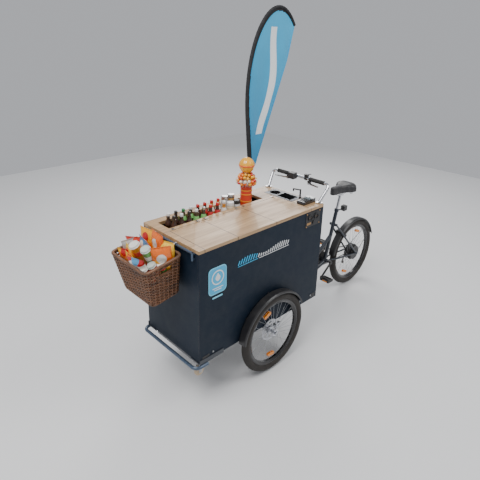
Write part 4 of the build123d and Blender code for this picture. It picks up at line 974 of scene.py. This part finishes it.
def sweet_stand():
    """A printed drum, a bunch of wrapped sweets on sticks that flares out of it, and a ribbed ball on top."""
    at = Vector((-0.147, FRONT + 0.822, SHELF))
    drum = solid("drum_card", (0.62, 0.035, 0.01), 0.4, coat=0.3, bumpy=0.05)
    stripe = solid("drum_stripe", (0.85, 0.33, 0.02), 0.4, coat=0.3, bumpy=0.05)
    stick = solid("sweet_stick", (0.78, 0.76, 0.7), 0.5)
    wraps = [(0.85, 0.4, 0.012), (0.8, 0.13, 0.01), (0.6, 0.012, 0.012), (0.78, 0.7, 0.55),
             (0.85, 0.27, 0.02)]
    sweets = [solid(f"sweet_{n}", colour, 0.18, coat=0.6, bumpy=0.3, grain=120.0, dusty=0.0)
              for n, colour in enumerate(wraps)]
    shape = Shape()
    body = [(0.043, 0), (0.0455, 0.002), (0.0458, 0.012), (0.044, 0.014)]
    body += [(0.0435 + 0.0008 * (step % 2), 0.014 + 0.28 * step / 40) for step in range(41)]
    body += [(0.0455, 0.297), (0.0458, 0.311), (0.043, 0.3125)]
    shape.add(lathe(body, 40), drum, Matrix.Translation(at))
    for height in (0.2, 0.255, 0.285):
        hoop = [(0.04, height - 0.004), (0.0456, height - 0.0035), (0.0458, height + 0.0035),
                (0.04, height + 0.004)]
        shape.add(lathe(hoop, 40), stripe, Matrix.Translation(at))
    # Each ring of sweets: how many, how far out and how high.
    rings = [(14, 0.068, 0.345), (16, 0.07, 0.366), (13, 0.055, 0.39), (10, 0.037, 0.408)]
    for ring, (count, reach, high) in enumerate(rings):
        for number in range(count):
            turn = 2 * math.pi * (number + ring * 0.5) / count + chance.uniform(-0.1, 0.1)
            way = Vector((math.cos(turn), math.sin(turn), 0))
            head = at + way * reach + Vector((0, 0, high + chance.uniform(-0.006, 0.006)))
            shape.add(tube([at + way * 0.02 + Vector((0, 0, 0.29)), head], 0.0013, 6), stick)
            lean_to = facing(head, (head - at - Vector((0, 0, 0.3))).normalized(), (0.3, 0.2, 1))
            sweet = chance.choice(sweets)
            shape.add(ball(0.0125, 9), sweet, lean_to)
            wrap = [(0.0035, -0.011), (0.007, -0.019), (0.0068, -0.02), (0.003, -0.0125)]
            shape.add(lathe(wrap, 12), sweet, lean_to)
    shape.make("sweet_stand", "box", ["lolly_stand"])
    top_ball(Matrix.Translation(at + Vector((0, 0, 0.477))), sweets)


def top_ball(place, sweets):
    """The big ribbed ball over the sweets, with a band round its middle."""
    head = Shape()
    points = []
    for n in range(33):
        tilt = math.pi * n / 32
        for step in range(64):
            turn = 2 * math.pi * step / 64
            radius = 0.06 * (1 - 0.035 * (0.5 + 0.5 * math.cos(turn * 12)) * math.sin(tilt))
            points.append((radius * max(math.sin(tilt), 0.01) * math.cos(turn),
                           radius * max(math.sin(tilt), 0.01) * math.sin(turn), -radius * math.cos(tilt)))
    head.add((points, closed_skin(33, 64)), sweets[0], place)
    band = lathe([(0.059, -0.007), (0.0605, -0.006), (0.0605, 0.006), (0.059, 0.007)], 48)
    head.add(band, sweets[1], place)
    head.make("sweet_stand_ball", "box", sharp=60)


# ======================= flag =======================
FLAG_X = -0.32
POLE_FOOT = Vector((FLAG_X, FRONT + 1.058, 1.0))
POLE_WAY = Vector((0, -math.sin(math.radians(5.6)), math.cos(math.radians(5.6))))
TIP = Vector((FLAG_X, FRONT + 1.49, 2.445))


def pole_line(share):
    """A point along the cloth's held edge: straight up the pole, then over the bent arch to the tip."""
    bend = POLE_FOOT + POLE_WAY * 0.76
    foot = POLE_FOOT + POLE_WAY * 0.345
    if share < 0.25:
        return foot.lerp(bend, share / 0.25)
    t = (share - 0.25) / 0.75
    first = Vector((FLAG_X, bend.y - 0.0644, bend.z + 0.6568))
    second = Vector((FLAG_X, FRONT + 1.282, 2.785))
    return bend * (1 - t) ** 3 + first * 3 * t * (1 - t) ** 2 + second * 3 * t * t * (1 - t) + TIP * t ** 3


def free_line(share):
    """The cloth's loose edge, from its low corner up to the tip."""
    low = Vector((FLAG_X, FRONT + 1.085, POLE_FOOT.z + POLE_WAY.z * 0.345 + 0.012))
    mid = Vector((FLAG_X, FRONT + 1.42, 2.18))
    if share < 0.78:
        return low.lerp(mid, share / 0.78)
    return mid.lerp(TIP, (share - 0.78) / 0.22)


def hoist_flag():
    """The knitted flag: its cloth with a black band by the pole, its sewn sleeve and its loose hem."""
    rows, columns = 90, 60
    knit = flag_knit()
    shape = Shape()
    points = []
    for row in range(rows):
        share = row / (rows - 1)
        held, loose = pole_line(share), free_line(share ** 0.92)
        for column in range(columns):
            t = column / (columns - 1)
            spot = held.lerp(loose, t)
            slack = math.sin(math.pi * min(1.0, t * 1.15)) * math.sin(math.pi * min(1.0, share * 1.02))
            fold = 0.007 * slack * math.sin(5.5 * t + 3.2 * share)
            spot.x += fold + 0.0022 * t * math.sin(31 * share + 4 * t)
            points.append(spot)
    shape.add((points, [f[::-1] for f in lattice(rows, columns)]), knit)
    band = solid("flag_band", (0.01, 0.01, 0.012), 0.8, grain=700.0, bumpy=0.4)
    shape.finishes.append(band)
    for row in range(rows - 1):
        for column in range(columns - 1):
            near = points[row * columns]
            if (points[row * columns + column + 1] - near).length < 0.034:
                shape.face_finish[row * (columns - 1) + column] = 1
    cloth = shape.make("flag_cloth_knit", "flag", ["flag_cloth"])
    # The flat cut's area is one side of the flat solid that the cloth stands for.
    hem = Shape()
    sleeve = solid("sleeve_black", (0.012, 0.012, 0.014), 0.8, grain=700.0, bumpy=0.5)
    line = [pole_line(step / 80) for step in range(81)]
    hem.add(tube(line, 0.0118, 14, False, (1, 0, 0)), sleeve)
    for step in range(0, 78, 2):
        where = line[step]
        along = (line[step + 1] - where).normalized()
        hem.add(tube([where - along * 0.0012, where + along * 0.0012], 0.0126, 14, False, (1, 0, 0)), sleeve)
    stitched = hem.make("flag_sleeve", "flag")
    trim = Shape()
    edge = [free_line((step / 60) ** 0.92) for step in range(61)]
    trim.add(tube(edge, 0.0013, 6, False, (1, 0, 0), 3.0), knit)
    trim_piece = trim.make("flag_hem", "flag")


# ======================= saddle =======================
def loft(sections):
    """A skin through closed sections of the same number of points, closed at both ends."""
    points = [point for section in sections for point in section]
    return points, closed_skin(len(sections), len(sections[0]))


def saddle_half(share):
    """Half the saddle's width, from its nose at 0 to its tail at 1."""
    marks = [(0, 0.012), (0.03, 0.024), (0.1, 0.031), (0.35, 0.037), (0.5, 0.047), (0.62, 0.072),
             (0.74, 0.0965), (0.85, 0.1018), (0.93, 0.092), (0.98, 0.068), (1, 0.04)]
    for (low, first), (high, last) in zip(marks, marks[1:]):
        if share <= high:
            t = (share - low) / (high - low)
            t = t * t * (3 - 2 * t)
            return first + (last - first) * t
    return marks[-1][1]


def upholster_saddle():
    """The saddle's dished pad, with the rails under it and a seam down each side."""
    lo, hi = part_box("saddle")
    long = hi.y - lo.y
    sections = []
    for step in range(61):
        share = (1 - math.cos(math.pi * step / 60)) / 2
        half = saddle_half(share)
        y = lo.y + long * (0.004 + 0.992 * share)
        ends = min(1.0, min(share, 1 - share) / 0.05)
        dip = 0.008 * math.sin(math.pi * min(1.0, share / 0.8))
        top = hi.z - 0.0015 - dip * (share < 0.8) - 0.012 * (1 - math.sqrt(max(ends, 0)))
        skirt = lo.z - 0.009 + 0.004 * share
        hollow = math.sin(math.pi * max(0.0, min(1.0, (share - 0.25) / 0.7)))
        section = []
        for n in range(36):
            turn = 2 * math.pi * n / 36
            x = math.cos(turn)
            z = math.sin(turn)
            bulge = 0.62 if z > 0 else 0.9
            across = math.copysign(abs(x) ** (bulge * 0.8), x)
            if z > 0:
                groove = 0.0045 * math.exp(-(across / 0.16) ** 2) * hollow
                rise = skirt + (top - skirt) * (z ** 0.5) - groove
            else:
                rise = skirt + 0.01 * (-abs(z) ** 0.5)
            if 0.3 < z < 0.5:
                across *= 0.985
            section.append((half * across, y, rise))
        sections.append(section)
    pad = Shape()
    pad.add(loft(sections), LEATHER)
    cushion = pad.make("saddle_pad", "seat", ["saddle"], sharp=70)
    rails = Shape()
    for side in (-1, 1):
        path = [(side * 0.02, lo.y + 0.03, lo.z - 0.006), (side * 0.021, lo.y + 0.09, lo.z - 0.02),
                (side * 0.022, lo.y + 0.19, lo.z - 0.02), (side * 0.05, hi.y - 0.03, lo.z - 0.006)]
        rails.add(tube(path, 0.0035, 8), STEEL)
        seam = []
        for step in range(41):
            share = 0.04 + 0.92 * step / 40
            x = side * (saddle_half(share) * 0.99)
            seam.append((x, lo.y + long * share, lo.z + 0.006 + 0.004 * share))
        rails.add(tube(seam, 0.0014, 6), LEATHER)
    rails.make("saddle_rails", "seat")


# ======================= wheels =======================
# Outer radius of the tyres, and each wheel's name, middle, radius, body and the turns of its reflectors.
SMALL, LARGE = 0.3135, 0.3395
WHEELS = [
    ("left_front", Vector((0.337, FRONT + 0.657, SMALL)), SMALL, "left_front_wheel", (1.98, 4.62)),
    ("right_front", Vector((-0.337, FRONT + 0.657, SMALL)), SMALL, "right_front_wheel", (1.98, 4.62)),
    ("rear", Vector((0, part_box("rear_tyre")[0].y + LARGE, LARGE)), LARGE, "rear_wheel", (1.2, 4.33)),
]


def tread_cut(step, angle):
    """How deep the rubber is cut, one step round the tyre and at an angle across it."""
    if abs(angle) < 0.95:
        siped = (step + (2 if angle > 0 else 0)) % 4 == 0
        return 0.0016 if siped or abs(abs(angle) - 0.3) < 0.07 else 0.0
    if abs(angle) < 1.2:
        return 0.0014 if step % 4 < 2 else 0.0003
    return -0.0002 if abs(abs(angle) - 1.75) < 0.07 else 0.0


def tread_tyre(name, middle, outer, body):
    """A tyre with siped tread blocks, a shoulder row and ribbed side walls."""
    steps, across = 336, 40
    section = 0.0298
    radius = outer - 0.0302
    points = []
    for step in range(steps):
        turn = 2 * math.pi * step / steps
        for n in range(across):
            angle = -2.62 + 5.24 * n / (across - 1)
            tube_radius = section - tread_cut(step, angle)
            reach = radius + tube_radius * math.cos(angle)
            spot = Vector((tube_radius * math.sin(angle), reach * math.cos(turn), reach * math.sin(turn)))
            points.append(middle + spot)
    shape = Shape()
    shape.add((points, lattice(steps, across, True)), RUBBER)
    shape.make(f"{name}_tread", body, [f"{name}_tyre"], origin=middle, sharp=45)


def wheel_reflectors(name, middle, outer, body, turns):
    """Two amber reflectors clipped between the spokes."""
    shape = Shape()
    radius = outer - 0.125
    for turn in turns:
        out = Vector((0, math.cos(turn), math.sin(turn)))
        spot = middle + out * radius
        for side in (1, -1):
            spin = facing(spot + Vector((side * 0.0035, 0, 0)), (side, 0, 0), out)
            shape.add(plate(0.07, 0.026, 0.006, 0.009, 0.0015), ORANGE, spin)
            for row in range(3):
                for n in range(11):
                    shape.add(lathe([(0.0028, 0), (0.0014, 0.0011), (0.0004, 0.0013)], 6), ORANGE,
                              spin @ Matrix.Translation((-0.03 + n * 0.006, -0.0075 + row * 0.0075, 0.0058)))
    shape.make(f"{name}_reflectors", body)


def rubber_grips():
    """Hand grips with rings, a flange inboard and a closed end cap."""
    lo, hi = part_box("grips")
    middle_y, middle_z = (lo.y + hi.y) / 2, (lo.z + hi.z) / 2
    shape = Shape()
    for side in (1, -1):
        profile = [(0.0126, 0), (0.0168, 0.0006), (0.0169, 0.004), (0.0156, 0.006)]
        for ring in range(18):
            start = 0.009 + ring * 0.0055
            profile += [(0.0152, start), (0.0165, start + 0.001), (0.0165, start + 0.0036),
                        (0.0152, start + 0.0046)]
        profile += [(0.0155, 0.111), (0.0168, 0.1125), (0.0168, 0.116), (0.0126, 0.1178)]
        turn = facing((side * 0.12, middle_y, middle_z), (side, 0, 0))
        shape.add(lathe(profile, 32), GRIP, turn)
    shape.make("rubber_grips", "box", ["grips"], sharp=30)


# ======================= signs and fittings on the box =======================
def side_sign():
    """A rounded light-blue plate with a darker ring and a plain drop, and a small tag under it."""
    shape = Shape()
    face = HALF + 0.0004
    middle = (face, FRONT + 0.147, 0.925)
    shape.add(plate(0.15, 0.19, 0.0022, 0.03), SIGN_PALE, facing(middle, (1, 0, 0)))
    shape.add(plate(0.137, 0.177, 0.0034, 0.026), SIGN_BLUE, facing(middle, (1, 0, 0)))
    ring = [(face + 0.0036, middle[1] + 0.047 * math.cos(2 * math.pi * n / 48),
             middle[2] + 0.02 + 0.047 * math.sin(2 * math.pi * n / 48)) for n in range(48)]
    shape.add(tube(ring, 0.0042, 8, True, (1, 0, 0), 0.3), WHITE)
    drop = [(0.004, -0.022), (0.017, -0.012), (0.021, 0.0), (0.017, 0.011), (0.008, 0.022), (0.001, 0.034)]
    outline = drop + [(-x, y) for x, y in drop[::-1]]
    points = [(x, y, z) for z in (0.0, 0.0012) for x, y in outline]
    spot = (face + 0.0032, middle[1], middle[2] + 0.018)
    shape.add((points, closed_skin(2, 12)), WHITE, facing(spot, (1, 0, 0)))
    for width, low in ((0.09, -0.052), (0.06, -0.066)):
        spot = (face + 0.0032, middle[1], middle[2] + low)
        shape.add(plate(width, 0.006, 0.001, 0.0028), WHITE, facing(spot, (1, 0, 0)))
    shape.add(plate(0.085, 0.012, 0.0012, 0.003), SIGN_PALE, facing((face, middle[1], 0.806), (1, 0, 0)))
    shape.make("side_sign", "box")


def side_strip():
    """A row of slanted bars along the side panel, rising and falling, blue in front and pale behind."""
    shape = Shape()
    face = HALF + 0.0003
    for number in range(22):
        late = number > 7
        high = 0.036 + 0.014 * math.sin(number * 0.45)
        middle = (face, FRONT + 0.332 + number * 0.0232, 0.958 + high / 2)
        slant = facing(middle, (1, 0, 0)) @ Matrix.Rotation(-0.42, 4, "Z")
        shape.add(plate(0.0085, high, 0.0012, 0.004), WHITE if late else SIGN_BLUE, slant)
    for start, stop, paint in ((0.322, 0.51, SIGN_BLUE), (0.52, 0.829, WHITE)):
        spot = (face, FRONT + (start + stop) / 2, 0.951)
        shape.add(plate(stop - start, 0.0045, 0.001, 0.002), paint, facing(spot, (1, 0, 0)))
    shape.make("side_strip", "box")


def terminal_face():
    """The terminal's screen, its frame and its rows of keys, on the sloping top."""
    low = Vector((0.184, BACK - 0.138, TOP + 0.020))
    high = Vector((0.184, BACK - 0.008, TOP + 0.034))
    slope = (high - low).normalized()
    out = Vector((1, 0, 0)).cross(slope)
    shape = Shape()

    def at(along, across, lift=0.0):
        return facing(low + slope * along + Vector((across, 0, 0)) + out * lift, out, slope)

    shape.add(plate(0.066, 0.076, 0.0016, 0.006), GLOSS, at(0.086, 0))
    shape.add(plate(0.056, 0.058, 0.0009, 0.003), SCREEN, at(0.089, 0, 0.0014))
    for row in range(4):
        for column in range(3):
            shape.add(plate(0.0135, 0.0072, 0.0012, 0.002), GRIP if row < 3 else RIM,
                      at(0.011 + row * 0.0105, (column - 1) * 0.0185))
    green = solid("ready_green", (0.05, 0.8, 0.2), 0.4)
    shape.add(plate(0.003, 0.003, 0.0008, 0.0014), green, at(0.115, 0.026, 0.0016))
    shape.make("terminal_face", "box")


def panel_trim():
    """Bronze screws and pins, a bronze oval as a painted highlight on the power panel, and metal shoes on the
    box's low corners.
    """
    shape = Shape()
    bronze = solid("bronze_screw", (0.42, 0.24, 0.1), 0.35, 0.9)
    face = HALF + 0.003
    for y in (BACK - 0.204, BACK - 0.05):
        for z in (TOP - 0.136, TOP - 0.036):
            shape.add(lathe([(0.0055, 0), (0.0055, 0.0012), (0.0042, 0.0024), (0.0015, 0.0026)], 20), bronze,
                      facing((face, y, z), (1, 0, 0)))
    for y in (BACK - 0.165, BACK - 0.095):
        middle = Vector((face, y, TOP - 0.071))
        for turn in (0, math.pi):
            pin = middle + Vector((0, 0.0095 * math.cos(turn), 0))
            peg = lathe([(0.0026, 0), (0.0026, 0.0035), (0.0012, 0.0042)], 12)
            shape.add(peg, bronze, facing(pin, (1, 0, 0)))
        shape.add(plate(0.008, 0.022, 0.002, 0.002), SILVER, facing(middle, (1, 0, 0)))
    # A bronze oval plate put where the dark power panel shows only a highlight: a painted highlight.
    spot = (face, BACK - 0.175, TOP - 0.117)
    shape.add(plate(0.05, 0.018, 0.0014, 0.0085), bronze, facing(spot, (1, 0, 0)))
    for side in (1, -1):
        for y in (FRONT + 0.05, BACK - 0.05):
            spot = (side * (HALF + 0.0003), y, BOX_BOTTOM + 0.028)
            shape.add(plate(0.06, 0.034, 0.0022, 0.005), POWDER, facing(spot, (side, 0, 0)))
    shape.make("panel_trim", "box")


def lamp_lens():
    """A red lens on the back of the rear lamp, and pedal reflectors at both pedals."""
    red = solid("lamp_red", (0.5, 0.01, 0.01), 0.12, coat=0.9, grain=240.0, bumpy=0.4, dusty=0.0)
    shape = Shape()
    shape.add(plate(0.036, 0.04, 0.004, 0.008, 0.0015), red, facing((0, 0.8929, 0.858), (0, 1, 0)))
    shape.make("lamp_lens", "rear_frame")
    for name in ("left_pedal", "right_pedal"):
        lo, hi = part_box(name)
        middle = (lo + hi) / 2
        clip = Shape()
        outboard = 0.008 if name == "left_pedal" else -0.008
        for side in (1, -1):
            spot = (middle.x + outboard, hi.y if side > 0 else lo.y, middle.z)
            clip.add(plate(0.05, 0.012, 0.0022, 0.003, 0.0007), ORANGE, facing(spot, (0, side, 0)))
        clip.make(f"{name}_reflectors", name)


def lay_floor():
    """The pale floor that the bicycle stands on, which is no part of it."""
    mesh = bpy.data.meshes.new("floor")
    mesh.from_pydata([(-6, -6, 0), (6, -6, 0), (6, 6, 0), (-6, 6, 0)], [], [[0, 1, 2, 3]])
    mesh.materials.append(solid("pale_floor", (0.8, 0.8, 0.8), 0.75, change=0.02, bumpy=0.0, dusty=0.0))
    floor = bpy.data.objects.new("floor", mesh)
    bpy.context.scene.collection.objects.link(floor)


weave_basket()
fill_basket()
stock_well()
sweet_stand()
hoist_flag()
upholster_saddle()
for name, middle, outer, body, turns in WHEELS:
    tread_tyre(name, middle, outer, body)
    wheel_reflectors(name, middle, outer, body, turns)
rubber_grips()
side_sign()
side_strip()
terminal_face()
panel_trim()
lamp_lens()
lay_floor()
